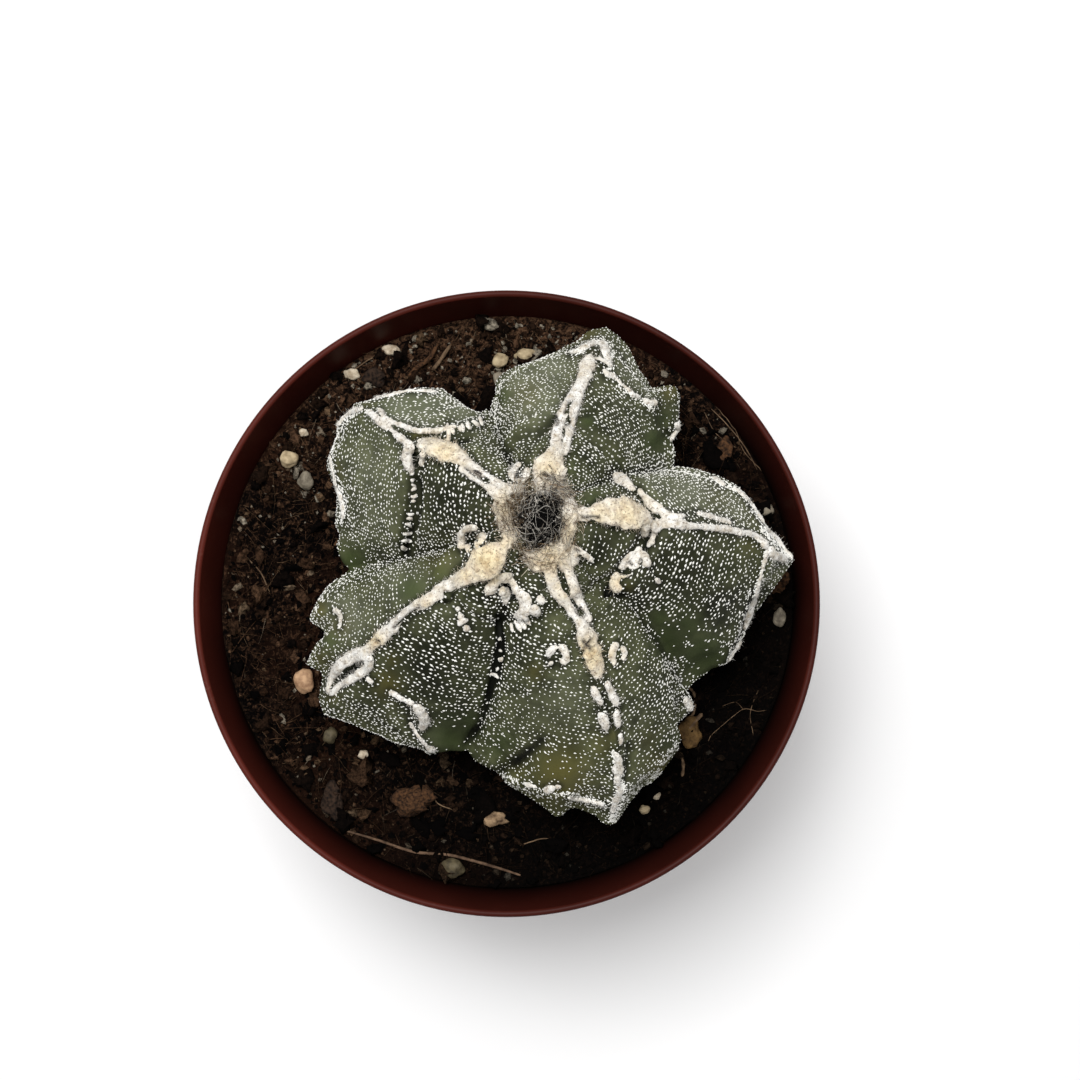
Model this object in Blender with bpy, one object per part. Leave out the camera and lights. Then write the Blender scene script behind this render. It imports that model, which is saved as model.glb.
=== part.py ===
"""A potted bishop's cap cactus: a spineless five-ribbed cactus with woolly crests, in peat, in a 12 cm pot.

The origin is the centre of the pot's underside, +Z is up, and +Y is the side towards which the plant leans.
Sizes below are in millimetres, and "rise" is the height above the soil. Meshes are built in metres.
"""

import math
import random

import bmesh
import bpy
import numpy as np
from mathutils import Matrix, Vector, noise
from mathutils.bvhtree import BVHTree

MM = 0.001
GAP = 0.32  # between pieces that touch
SEED = 12

# The pot: a turned plastic grower's pot with a collar, a foot ring and drain holes.
RIM_RADIUS = 60.0
POT_HEIGHT = 92.0
FOOT_RADIUS = 43.5
FOOT_WIDTH = 3.5
FOOT_HEIGHT = 3.0
WALL = 1.3
COLLAR_HEIGHT = 11.0
COLLAR_STEP = 1.0
COLLAR_CHAMFER = 0.6
COLLAR_THINNING = 0.4  # how much thinner the wall is where the collar starts
RIM_ROUND = 0.5
FLOOR_CORNER = 2.0
POT_SIDES = 64
DRAIN_HOLES = 6
DRAIN_RADIUS = 4.0
DRAIN_REACH = 28.0

# The soil: peat up to a little below the rim, with a plain hole for the plant's neck.
SOIL_TOP = POT_HEIGHT - 10.0
SOIL_RINGS = (0.0, 12.0, 24.0, 31.0, 36.0, 40.5, 44.5, 48.0, 51.0, 53.8)
SOIL_SIDES = 56
SOIL_RELIEF = 1.0
COARSE_CRUMB = 9.0
FINE_CRUMB = 3.5
SOIL_LEVEL_REACH = 32.0  # the soil is level this far from the neck, under the plant
SOIL_FADE = 6.0
NECK_RADIUS = 16.0
NECK_CLEARANCE = 0.5
NECK_DEPTH = 9.0
NECK_TAPER = 3.0
NECK_TOP = 0.4  # the rise of the plant's underside at the neck
ROOT = np.array((7.0, 4.0))  # where the neck enters the soil, in plan

# The plant. Crests and furrows run from the growing tip, at level 0, to the widest girth, at level 1.
# Each row is (x, y, rise) at the level of the same place in LEVELS.
APEX = (6.5, 16.0, 51.0)
LEVELS = np.array((0.0, 0.12, 0.28, 0.42, 0.56, 0.72, 0.87, 1.0))
CRESTS = {
    "east": (APEX, (12.5, 16.5, 53.0), (20.5, 17.0, 50.5), (27.0, 15.0, 46.5), (33.5, 15.0, 43.5),
             (41.0, 14.0, 37.5), (48.5, 10.5, 29.5), (54.0, 8.5, 18.0)),
    "north": (APEX, (7.3, 20.0, 52.5), (8.0, 24.5, 51.0), (9.3, 30.5, 47.0), (11.5, 35.0, 43.0),
              (13.8, 40.0, 37.5), (16.3, 46.5, 28.0), (19.0, 52.5, 15.0)),
    "northwest": (APEX, (0.5, 19.5, 52.5), (-5.5, 23.5, 50.5), (-11.5, 27.0, 47.5), (-16.5, 29.0, 43.5),
                  (-21.5, 32.5, 38.0), (-26.0, 36.5, 28.5), (-28.5, 38.0, 17.0)),
    "southwest": (APEX, (1.0, 11.5, 53.0), (-4.5, 7.0, 51.0), (-10.5, 2.0, 47.5), (-16.0, -0.5, 44.0),
                  (-22.5, -6.5, 38.5), (-29.0, -12.5, 31.0), (-35.0, -17.5, 19.0)),
    "south": (APEX, (9.0, 8.5, 53.0), (12.0, 1.0, 51.5), (14.5, -6.0, 50.0), (16.8, -13.5, 47.0),
              (19.5, -22.5, 42.0), (21.0, -32.0, 33.5), (19.5, -41.0, 19.0)),
}
# Each furrow lies counter-clockwise of the rib with the same name.
FURROWS = {
    "east": (APEX, (11.0, 19.5, 49.0), (15.0, 21.5, 44.5), (19.0, 23.0, 39.5), (22.5, 24.0, 34.5),
             (26.0, 24.5, 28.5), (28.5, 25.0, 22.5), (30.5, 25.0, 16.0)),
    "north": (APEX, (3.8, 20.5, 48.5), (2.0, 24.0, 44.5), (0.7, 27.0, 40.5), (-0.3, 29.5, 36.0),
              (-1.2, 32.0, 30.5), (-2.0, 34.0, 24.5), (-2.5, 35.0, 17.0)),
    "northwest": (APEX, (0.5, 14.5, 48.5), (-5.0, 12.3, 44.0), (-10.0, 10.8, 39.0), (-14.5, 9.8, 34.0),
                  (-20.0, 8.5, 28.0), (-25.0, 7.5, 21.5), (-29.0, 6.5, 15.0)),
    "southwest": (APEX, (3.0, 9.5, 49.0), (1.0, 4.5, 46.5), (0.0, -1.0, 43.5), (-0.7, -7.0, 39.5),
                  (-2.0, -14.0, 34.0), (-4.3, -21.0, 26.5), (-7.0, -27.0, 16.0)),
    "south": (APEX, (12.0, 10.0, 49.0), (16.0, 5.0, 46.0), (20.5, 2.0, 42.0), (25.0, -1.0, 37.5),
              (28.5, -6.0, 31.5), (31.5, -11.5, 24.5), (33.5, -16.0, 16.0)),
}
# How far a flank stands out of the straight line from crest to furrow at the widest girth, as
# (share of the way to the furrow, mm). The lobes and hooks of the waved edge are here.
# First the flank clockwise of the crest, then the one counter-clockwise of it.
WAVES = {
    "east": (((0, 0), (0.16, 0.5), (0.34, 1.0), (0.48, 1.5), (0.6, 2.8), (0.73, 3.0), (0.82, 1.2), (1, 0)),
             ((0, 0), (0.1, 0.9), (0.32, 2.9), (0.53, 4.9), (0.68, 4.2), (0.85, 2.8), (1, 0))),
    "north": (((0, 0), (0.08, 1.5), (0.35, 2.5), (0.46, 2.8), (0.52, 7.0), (0.59, 7.5), (0.68, 5.6),
               (0.77, 5.4), (0.84, 2.6), (1, 0)),
              ((0, 0), (0.12, 1.6), (0.22, 1.3), (0.36, 2.1), (0.54, 3.6), (0.74, 5.2), (0.86, 2.9), (1, 0))),
    "northwest": (((0, 0), (0.12, 1.1), (0.4, 3.5), (0.6, 4.0), (0.78, 1.2), (0.88, 0.2), (0.94, 1.0),
                   (1, 0)),
                  ((0, 0), (0.14, 3.0), (0.36, 4.9), (0.52, 3.3), (0.72, 3.3), (0.79, 2.2), (0.88, 2.7),
                   (1, 0))),
    "southwest": (((0, 0), (0.12, 0.4), (0.2, 3.2), (0.26, 4.0), (0.4, 2.8), (0.47, 2.0), (0.54, 5.2),
                   (0.62, 5.5), (0.8, 4.0), (1, 0)),
                  ((0, 0), (0.08, 2.8), (0.3, 2.3), (0.55, 3.3), (0.78, 2.8), (1, 0))),
    "south": (((0, 0), (0.1, -0.3), (0.24, 0.0), (0.31, 3.7), (0.5, 3.0), (0.67, 2.4), (0.85, 1.2), (1, 0)),
              ((0, 0), (0.12, 1.0), (0.3, 1.7), (0.42, 3.2), (0.64, 4.1), (0.72, 1.8), (0.87, 2.3),
               (0.94, 2.7), (1, 0))),
}
# The folds between tiers of tubercles, as levels: at the clockwise furrow, the crest, the next furrow.
FOLDS = {
    "east": (0.31, 0.42, 0.45),
    "north": (0.48, 0.52, 0.45),
    "northwest": (0.8, 0.5, 0.6),
    "southwest": (0.28, 0.42, 0.48),
    "south": (0.45, 0.28, 0.3),
}
FOLD_DEPTH = 1.5
FOLD_WIDTH = 0.036
FOLD_LIP = 0.5  # how far the tier outside a fold stands proud next to it
LIP_PLACE = 2.2  # the lip's distance from the fold, in fold widths
BRIM = (0.87, 0.99)  # levels, at crest and furrow, of the edge where a rib's top turns to its steep face
BRIM_HEIGHT = 0.8
BRIM_WIDTH = 0.035
FLANK_SWELL = 0.13  # of the crest-to-furrow distance
SWELL_SKEW = 1.35
ABOVE_GIRTH = 0.15  # how far above and below the girth the waved edge fades out, in levels
BELOW_GIRTH = 0.45
# Below the girth: (level, share of the plan reach kept, share of the rise kept).
UNDERSIDE = ((1.0, 1.0, 1.0), (1.2, 0.985, 0.72), (1.45, 0.92, 0.42), (1.7, 0.82, 0.16), (1.85, 0.73, 0.045))
BODY_LEVELS = tuple(np.linspace(0.07, 1.0, 20)) + (1.12, 1.25, 1.4, 1.55, 1.7, 1.85)
FLANK_COLUMNS = 8

# The wool: a ring round the growing tip, and a band along each crest with a pad at each areole.
WOOL_START = 0.13
WOOL_END = 0.88
WOOL_SEAT = 0.6  # between the skin and the wool's underside, enough to clear the folds
WOOL_THICKNESS = 0.7
RING_SEAT = 0.7
RING_THICKNESS = 1.4
WOOL_HALF_WIDTH = 0.8
OFF_RIDGE = 0.05  # mm, and a share of the step between levels: they keep a band's edges off the ring's,
OFF_RING = 0.3  # where the two are united
PADS = {  # (level of the pad's middle, half length in levels, half width, extra thickness)
    "east": ((0.28, 0.09, 1.9, 1.3), (0.87, 0.05, 0.6, 0.4)),
    "north": ((0.25, 0.09, 2.0, 1.5), (0.79, 0.07, 1.1, 0.8)),
    "northwest": ((0.40, 0.09, 1.9, 1.4), (0.13, 0.05, 0.8, 0.8)),
    "southwest": ((0.30, 0.09, 2.4, 1.7), (0.62, 0.05, 0.5, 0.5)),
    "south": ((0.46, 0.09, 1.5, 1.3), (0.22, 0.06, 1.1, 0.7)),
}
TUFT_SEAT = 0.6
TUFT_RADIUS = 3.8
TUFT_HALF_HEIGHT = 1.9
TUFT_STRANDS = 20
STRAND_RADIUS = 0.42
STRAND_STEPS = 4
STRAND_TAPER = 0.55
TRIANGLE = [Vector((math.cos(math.tau * i / 3), math.sin(math.tau * i / 3), 0.0)) for i in range(3)]

# Loose pieces on the soil, as (x, y, length, width, height, turn in degrees).
STONE_ROUGHNESS = 0.35
CHIP_ROUGHNESS = 0.7
LUMP_NOISE = 2.3
THREAD_BERTH = 1.4  # a thread is held clear of the highest crumb this near to it
STONES = (
    (-42.5, 28.0, 3.9, 3.6, 3.0, 20), (-39.5, 23.8, 3.8, 3.3, 2.8, 80), (-39.8, 33.2, 1.9, 1.7, 1.5, 0),
    (-1.4, 47.3, 3.6, 2.9, 2.4, 25), (3.4, 48.4, 4.0, 2.6, 2.2, 5), (-1.6, 43.6, 2.8, 2.2, 1.9, 60),
    (-22.6, 49.4, 3.6, 1.9, 1.7, 22), (-30.4, 44.6, 3.2, 1.9, 1.6, 34), (50.8, 18.4, 2.8, 2.5, 2.1, 40),
    (-34.6, -26.0, 2.6, 3.6, 2.2, 0), (-28.2, -29.8, 2.2, 1.8, 1.5, 20), (29.0, -37.8, 2.1, 1.7, 1.5, 45),
    (26.8, -40.4, 2.3, 1.9, 1.6, 10), (-39.6, -15.3, 3.6, 5.2, 3.0, 10), (-10.6, -51.8, 4.4, 4.0, 2.9, 0),
    (53.2, -3.0, 2.6, 3.8, 2.4, 5),
)
CHIPS = (
    (-34.5, -38.6, 3.6, 7.2, 2.0, 8), (-18.4, -38.3, 9.2, 6.4, 3.6, -15), (52.6, 4.2, 4.0, 6.4, 1.8, -30),
    (35.5, -25.5, 7.6, 2.6, 1.4, 58), (-2.4, -42.0, 5.2, 3.0, 1.8, 25), (-26.0, 44.4, 5.4, 2.8, 1.6, -35),
    (42.5, 30.0, 5.0, 3.2, 1.8, 70),
)
ROOT_FIBRE = ((-31.8, -44.6), (-25.1, -46.6), (-18.2, -48.8), (-11.5, -49.4), (-5.4, -50.9), (-1.0, -52.2),
              (2.6, -53.4))
TWIG = ((-13.6, 50.6), (-15.2, 47.8), (-17.6, 46.0), (-19.4, 44.2))
FIBRE_RADIUS = 0.35


def clear_scene():
    for obj in list(bpy.data.objects):
        bpy.data.objects.remove(obj, do_unlink=True)


def material(name, colour, roughness):
    made = bpy.data.materials.new(name)
    made.use_nodes = True
    shader = made.node_tree.nodes["Principled BSDF"]
    shader.inputs["Base Color"].default_value = (*colour, 1.0)
    shader.inputs["Roughness"].default_value = roughness
    shader.inputs["Metallic"].default_value = 0.0
    return made


def add_object(name, bm, finish):
    """Puts a bmesh, in metres, into the scene as an object of its own."""
    bmesh.ops.recalc_face_normals(bm, faces=bm.faces)
    mesh = bpy.data.meshes.new(name)
    bm.to_mesh(mesh)
    bm.free()
    mesh.materials.append(finish)
    mesh.shade_smooth()
    obj = bpy.data.objects.new(name, mesh)
    bpy.context.scene.collection.objects.link(obj)
    return obj


def boolean(obj, others, operation, solver="EXACT"):
    """Unites the others with obj, or cuts them from it, in one step, and removes them."""
    tools = bpy.data.collections.new(obj.name + "_tools")
    bpy.context.scene.collection.children.link(tools)
    for other in others:
        tools.objects.link(other)
    modifier = obj.modifiers.new(operation.title(), "BOOLEAN")
    modifier.operation = operation
    modifier.operand_type = "COLLECTION"
    modifier.collection = tools
    modifier.solver = solver
    graph = bpy.context.evaluated_depsgraph_get()
    result = bpy.data.meshes.new_from_object(obj.evaluated_get(graph))
    obj.modifiers.remove(modifier)
    obj.data = result
    for other in others:
        bpy.data.objects.remove(other, do_unlink=True)
    bpy.data.collections.remove(tools)
    return obj


def turned(profile, sides):
    """A closed (radius, height) outline in mm, turned once about the vertical axis."""
    bm = bmesh.new()
    corners = [bm.verts.new((radius * MM, 0.0, height * MM)) for radius, height in profile]
    edges = [bm.edges.new((a, b)) for a, b in zip(corners, corners[1:] + corners[:1])]
    bmesh.ops.spin(bm, geom=corners + edges, cent=(0, 0, 0), axis=(0, 0, 1), angle=math.tau,
                   steps=sides, use_merge=True)
    bmesh.ops.remove_doubles(bm, verts=bm.verts, dist=1e-6)
    return bm


def wall_radius(height):
    """The pot's outer radius below the collar."""
    top = RIM_RADIUS - COLLAR_STEP
    return FOOT_RADIUS + (top - FOOT_RADIUS) * height / POT_HEIGHT


def round_cutter(name, radius, depth, place, finish):
    """An upright cylinder, which stands through what it cuts."""
    bm = bmesh.new()
    bmesh.ops.create_cone(bm, cap_ends=True, segments=max(12, int(2.5 * radius)), radius1=radius * MM,
                          radius2=radius * MM, depth=depth * MM, matrix=place)
    return add_object(name, bm, finish)


def make_pot(finish):
    collar_foot = POT_HEIGHT - COLLAR_HEIGHT
    floor = FOOT_HEIGHT + WALL
    profile = (
        (FOOT_RADIUS, 0.0),
        (wall_radius(collar_foot), collar_foot),
        (wall_radius(collar_foot) + COLLAR_STEP, collar_foot + COLLAR_CHAMFER),
        (RIM_RADIUS, POT_HEIGHT - RIM_ROUND),
        (RIM_RADIUS - RIM_ROUND, POT_HEIGHT),
        (RIM_RADIUS - WALL + 0.5 * RIM_ROUND, POT_HEIGHT),
        (RIM_RADIUS - WALL, POT_HEIGHT - RIM_ROUND),
        (wall_radius(collar_foot) - WALL + COLLAR_THINNING, collar_foot),
        (wall_radius(floor + FLOOR_CORNER) - WALL, floor + FLOOR_CORNER),
        (wall_radius(floor) - WALL - FLOOR_CORNER, floor),
        (DRAIN_RADIUS, floor),
        (DRAIN_RADIUS, FOOT_HEIGHT),
        (FOOT_RADIUS - FOOT_WIDTH, FOOT_HEIGHT),
        (FOOT_RADIUS - FOOT_WIDTH, 0.0),
    )
    pot = add_object("pot", turned(profile, POT_SIDES), finish)
    cutters = []
    for i in range(DRAIN_HOLES):
        turn = math.tau * (i + 0.5) / DRAIN_HOLES
        place = Matrix.Translation(Vector((math.cos(turn), math.sin(turn), 0.0)) * DRAIN_REACH * MM)
        cutters.append(round_cutter(f"drain_cutter_{i}", DRAIN_RADIUS, 4 * FOOT_HEIGHT, place, finish))
    boolean(pot, cutters, "DIFFERENCE")
    pot.data.set_sharp_from_angle(angle=math.radians(35))
    return pot


def soil_rise(x, y):
    """The height of the soil's crumbs above its mean level."""
    from_neck = math.hypot(x - ROOT[0], y - ROOT[1])
    fade = min(max((from_neck - SOIL_LEVEL_REACH) / SOIL_FADE, 0.0), 1.0)
    coarse = noise.noise(Vector((x, y, SEED)) / COARSE_CRUMB)
    fine = noise.noise(Vector((x, y, SEED)) / FINE_CRUMB)
    return SOIL_RELIEF * fade * (coarse + 0.8 * fine)


def make_soil(finish):
    bottom = FOOT_HEIGHT + WALL + GAP
    corner = bottom + 1.5 * FLOOR_CORNER
    edge = wall_radius(SOIL_TOP) - WALL + COLLAR_THINNING - GAP
    profile = [
        (0.0, bottom),
        (wall_radius(bottom) - WALL - 1.5 * FLOOR_CORNER, bottom),
        (wall_radius(corner) - WALL - GAP, corner),
        (edge, SOIL_TOP),
    ]
    profile += [(radius, SOIL_TOP) for radius in reversed(SOIL_RINGS)]
    soil = turned(profile, SOIL_SIDES)
    for vert in soil.verts:
        if vert.co.z > (SOIL_TOP - 0.01) * MM:
            x, y = vert.co.x / MM, vert.co.y / MM
            vert.co.z += soil_rise(x, y) * MM
    made = add_object("soil", soil, finish)
    place = Matrix.Translation((ROOT[0] * MM, ROOT[1] * MM, SOIL_TOP * MM))
    hole = round_cutter("neck_cutter", NECK_RADIUS + NECK_CLEARANCE, 2 * (NECK_DEPTH + GAP), place, finish)
    return boolean(made, [hole], "DIFFERENCE")


def along(knots, values, at):
    """A smooth curve through values at knots, read at each number in at."""
    knots, values = np.asarray(knots, float), np.asarray(values, float)
    slopes = np.gradient(values, knots, axis=0)
    first = np.clip(np.searchsorted(knots, at, side="right") - 1, 0, len(knots) - 2)
    step = (knots[first + 1] - knots[first])[:, None]
    f = ((at - knots[first]) / step[:, 0])[:, None]
    return (
        (1 + 2 * f) * (1 - f) ** 2 * values[first]
        + f * (1 - f) ** 2 * step * slopes[first]
        + f**2 * (3 - 2 * f) * values[first + 1]
        + f**2 * (f - 1) * step * slopes[first + 1]
    )


def meridian(points, levels):
    """A crest or furrow at each level, carried on below the girth towards the neck."""
    levels = np.asarray(levels, float)
    line = along(LEVELS, points, np.minimum(levels, 1.0))
    shares = along([row[0] for row in UNDERSIDE], [row[1:] for row in UNDERSIDE], np.maximum(levels, 1.0))
    line[:, :2] = ROOT + (line[:, :2] - ROOT) * shares[:, :1]
    line[:, 2] *= shares[:, 1]
    return line


def flank(crest, furrow, waves, fold, levels, shares, side):
    """Points of one flank, level by level, from the crest to the furrow.

    side is 1 where the furrow lies counter-clockwise of the crest and -1 where it lies clockwise.
    """
    top, low = meridian(crest, levels), meridian(furrow, levels)
    chord = low - top
    points = top[:, None] + shares[None, :, None] * chord[:, None]
    down = np.gradient(points, levels, axis=0)
    out = np.cross(down, side * chord[:, None])
    out /= np.linalg.norm(out, axis=2, keepdims=True)
    flat = side * np.stack((chord[:, 1], -chord[:, 0], 0 * chord[:, 0]), axis=1)
    flat /= np.linalg.norm(flat, axis=1, keepdims=True)
    fade = np.where(levels < 1.0, ABOVE_GIRTH, BELOW_GIRTH)
    at_girth = np.exp(-(((levels - 1.0) / fade) ** 2))[:, None, None]
    length = np.linalg.norm(chord, axis=1)[:, None, None]
    swell = FLANK_SWELL * length * np.sin(math.pi * shares**SWELL_SKEW)[None, :, None]
    wave = np.interp(shares, *zip(*waves))[None, :, None]
    outward = np.where(levels[:, None, None] < 1.0, out, flat[:, None])
    points = points + (1 - at_girth) * swell * outward + at_girth * wave * flat[:, None]
    past_fold = (levels[:, None] - np.interp(shares, (0.0, 1.0), fold)) / FOLD_WIDTH
    past_brim = (levels[:, None] - np.interp(shares, (0.0, 1.0), BRIM)) / BRIM_WIDTH
    relief = BRIM_HEIGHT * np.exp(-(past_brim**2)) + FOLD_LIP * np.exp(-((past_fold - LIP_PLACE) ** 2))
    relief -= FOLD_DEPTH * np.exp(-(past_fold**2))
    return points + relief[:, :, None] * out


def skin_points(levels, columns):
    """The plant's skin as an array of points [level, column], with columns running counter-clockwise."""
    levels = np.asarray(levels, float)
    shares = np.arange(columns) / columns
    names = list(CRESTS)
    panels = []
    for i, name in enumerate(names):
        following = names[(i + 1) % len(names)]
        folds, next_folds = FOLDS[name], FOLDS[following]
        panels.append(flank(CRESTS[name], FURROWS[name], WAVES[name][1], (folds[1], folds[2]),
                            levels, shares, 1))
        panels.append(flank(CRESTS[following], FURROWS[name], WAVES[following][0],
                            (next_folds[1], next_folds[0]), levels, 1.0 - shares, -1))
    return np.concatenate(panels, axis=1)


def in_metres(point):
    return Vector((point[0], point[1], SOIL_TOP + point[2])) * MM


def sheet_round(rows):
    """A tube of faces through rows of points that each run once round, open at both ends."""
    bm = bmesh.new()
    count = len(rows[0])
    bmesh.ops.create_grid(bm, x_segments=count, y_segments=len(rows) - 1, size=1.0)
    for vert in bm.verts:
        column = round((vert.co.x + 1.0) / 2.0 * count) % count
        row = round((vert.co.y + 1.0) / 2.0 * (len(rows) - 1))
        vert.co = in_metres(rows[row][column])
    bmesh.ops.remove_doubles(bm, verts=bm.verts, dist=1e-7)
    return bm


def close_ends(bm):
    bmesh.ops.holes_fill(bm, edges=[edge for edge in bm.edges if edge.is_boundary], sides=0)


def make_body(skin, finish):
    """The whole plant: its skin, drawn in under the ribs to a round neck."""
    direction = skin[-1][:, :2] - ROOT
    direction /= np.linalg.norm(direction, axis=1, keepdims=True)
    profile = (
        (NECK_RADIUS, NECK_TOP),
        (NECK_RADIUS, NECK_TAPER / 3 - NECK_DEPTH),
        (NECK_RADIUS - NECK_TAPER, -NECK_DEPTH),
    )
    neck = []
    for radius, rise in profile:
        neck.append(np.column_stack((ROOT + radius * direction, np.full(len(direction), rise))))
    body = sheet_round(list(skin) + neck)
    close_ends(body)
    ends = [face for face in body.faces if len(face.verts) > 4]
    bmesh.ops.poke(body, faces=ends)
    made = add_object("cactus_body", body, finish)
    made.data.set_sharp_from_angle(angle=math.radians(50))
    return made


def skin_normals(skin):
    """Unit vectors out of the skin at each of its points."""
    down = np.gradient(skin, axis=0)
    around = (np.roll(skin, -1, axis=1) - np.roll(skin, 1, axis=1)) / 2
    out = np.cross(down, around)
    return out / np.linalg.norm(out, axis=2, keepdims=True)


def pad_swell(name, level):
    """How much wider and thicker the wool on a crest is at a level: (width, thickness)."""
    width, thickness = WOOL_HALF_WIDTH, WOOL_THICKNESS
    for middle, half_length, pad_width, pad_thickness in PADS[name]:
        near = math.sqrt(max(0.0, 1.0 - ((level - middle) / half_length) ** 2))
        width = max(width, near * pad_width)
        thickness = max(thickness, WOOL_THICKNESS + near * pad_thickness)
    return width, thickness


def wool_band(name, column, skin, normals, finish):
    """A strip of wool astride one crest, clear of the skin beneath it."""
    rings = []
    count = skin.shape[1]
    skin = (1 - OFF_RING) * skin[:-1] + OFF_RING * skin[1:]
    for row, level in enumerate(BODY_LEVELS[:-1]):
        if not WOOL_START < level < WOOL_END:
            continue
        width, thickness = pad_swell(name, level)
        middle, out = skin[row, column], normals[row, column]
        sides = []
        for neighbour in ((column - 1) % count, (column + 1) % count):
            step = skin[row, neighbour] - middle
            share = width / np.linalg.norm(step)
            place = middle + share * step
            slope = (1 - share) * out + share * normals[row, neighbour]
            sides.append((place, slope / np.linalg.norm(slope)))
        (left, left_out), (right, right_out) = sides
        middle = middle + OFF_RIDGE * (right - left) / np.linalg.norm(right - left)
        rings.append((
            middle + WOOL_SEAT * out, left + WOOL_SEAT * left_out,
            left + (WOOL_SEAT + 0.6 * thickness) * left_out, middle + (WOOL_SEAT + thickness) * out,
            right + (WOOL_SEAT + 0.6 * thickness) * right_out, right + WOOL_SEAT * right_out,
        ))
    band = sheet_round(rings)
    close_ends(band)
    return add_object("wool_band_" + name, band, finish)


def make_wool(skin, normals, finish):
    """The ring of wool round the growing tip and the five crest bands, as one body."""
    shells = []
    for row, share in ((1, 0.0), (2, 0.0), (3, 0.0), (3, 0.5), (2, 1.0), (1, 0.6)):
        shells.append(skin[row] + np.array((0.0, 0.0, RING_SEAT + share * RING_THICKNESS)))
    ring = sheet_round(shells + shells[:1])
    wool = add_object("crest_wool", ring, finish)
    bands = []
    for i, name in enumerate(CRESTS):
        bands.append(wool_band(name, 2 * i * FLANK_COLUMNS, skin, normals, finish))
    return boolean(wool, bands, "UNION", "MANIFOLD")


def strand(name, start, peak, end, finish):
    """One three-sided hair bent from start to end by way of peak, and thinning towards its end."""
    start, peak, end = Vector(start), Vector(peak), Vector(end)
    rings = []
    for i in range(STRAND_STEPS + 1):
        f = i / STRAND_STEPS
        place = (1 - f) ** 2 * start + 2 * f * (1 - f) * peak + f**2 * end
        heading = (1 - f) * (peak - start) + f * (end - peak)
        turn = heading.to_track_quat("Z", "Y")
        radius = STRAND_RADIUS * (1 - STRAND_TAPER * f)
        rings.append([place + turn @ (corner * radius) for corner in TRIANGLE])
    hair = sheet_round(rings)
    close_ends(hair)
    return add_object(name, hair, finish)


def make_tuft(skin, finish):
    """The tangle of dark hair on the growing tip: a low core with strands curling out of it."""
    draw = random.Random(SEED)
    seat = float(skin[0, :, 2].max()) + TUFT_SEAT
    core = bmesh.new()
    bmesh.ops.create_icosphere(core, subdivisions=2, radius=MM)
    bmesh.ops.scale(core, verts=core.verts, vec=(TUFT_RADIUS, TUFT_RADIUS, TUFT_HALF_HEIGHT))
    bmesh.ops.translate(core, verts=core.verts, vec=in_metres((APEX[0], APEX[1], seat + TUFT_HALF_HEIGHT)))
    tuft = add_object("apex_tuft", core, finish)

    def place(turn, reach, rise):
        return APEX[0] + reach * math.cos(turn), APEX[1] + reach * math.sin(turn), seat + rise

    strands = []
    for i in range(TUFT_STRANDS):
        turn = math.tau * (i + draw.uniform(-0.3, 0.3)) / TUFT_STRANDS
        start = place(turn, draw.uniform(0.8, 2.6), 1.6)
        peak = place(turn, 2.4, draw.uniform(5.1, 7.7))
        end = place(turn + draw.uniform(-0.9, 0.9), draw.uniform(4.6, 6.6), draw.uniform(3.7, 4.8))
        strands.append(strand(f"tuft_strand_{i}", start, peak, end, finish))
    return boolean(tuft, strands, "UNION", "MANIFOLD")


def surface_of(obj):
    """The faces of an object, for dropping other pieces onto them."""
    bm = bmesh.new()
    bm.from_mesh(obj.data)
    tree = BVHTree.FromBMesh(bm)
    bm.free()
    return tree


def ground_rise(ground, x, y, reach):
    """The highest point of the ground, in mm above the soil's mean level, within reach of a place."""
    highest = -SOIL_RELIEF
    for ring in (0.0, 0.5 * reach, reach):
        for i in range(12):
            turn = math.tau * i / 12
            above = in_metres((x + ring * math.cos(turn), y + ring * math.sin(turn), 20.0))
            hit = ground.ray_cast(above, Vector((0, 0, -1)))[0]
            if hit:
                highest = max(highest, hit.z / MM - SOIL_TOP)
    return highest


def lump(name, sizes, ground, roughness, seed, finish):
    """A stone or a chip: a rough ball pressed to its length, width and height and set on the ground."""
    x, y, length, width, height, turn = sizes
    bm = bmesh.new()
    bmesh.ops.create_icosphere(bm, subdivisions=2, radius=0.5)
    for vert in bm.verts:
        vert.co *= 1.0 + roughness * noise.noise(vert.co * LUMP_NOISE + Vector((seed, 0, 0)))
    bmesh.ops.scale(bm, verts=bm.verts, vec=(length * MM, width * MM, height * MM))
    bmesh.ops.rotate(bm, verts=bm.verts, cent=(0, 0, 0), matrix=Matrix.Rotation(math.radians(turn), 3, "Z"))
    lowest = min(vert.co.z for vert in bm.verts)
    rise = ground_rise(ground, x, y, 0.5 * max(length, width)) + GAP
    bmesh.ops.translate(bm, verts=bm.verts, vec=Vector((x, y, SOIL_TOP + rise)) * MM - Vector((0, 0, lowest)))
    return add_object(name, bm, finish)


def thread(name, route, radius, ground, finish):
    """A thin root or twig that lies on the ground along a smooth route."""
    steps = np.linspace(0, len(route) - 1, 4 * (len(route) - 1) + 1)
    curve = bpy.data.curves.new(name, "CURVE")
    curve.dimensions = "3D"
    curve.bevel_depth = radius * MM
    curve.bevel_resolution = 1
    curve.use_fill_caps = True
    spline = curve.splines.new("POLY")
    spline.points.add(len(steps) - 1)
    for point, (x, y) in zip(spline.points, along(range(len(route)), route, steps)):
        rise = ground_rise(ground, x, y, radius + THREAD_BERTH) + GAP + radius
        point.co = (*in_metres((x, y, rise)), 1.0)
    curve.materials.append(finish)
    obj = bpy.data.objects.new(name, curve)
    bpy.context.scene.collection.objects.link(obj)
    return obj


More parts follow.
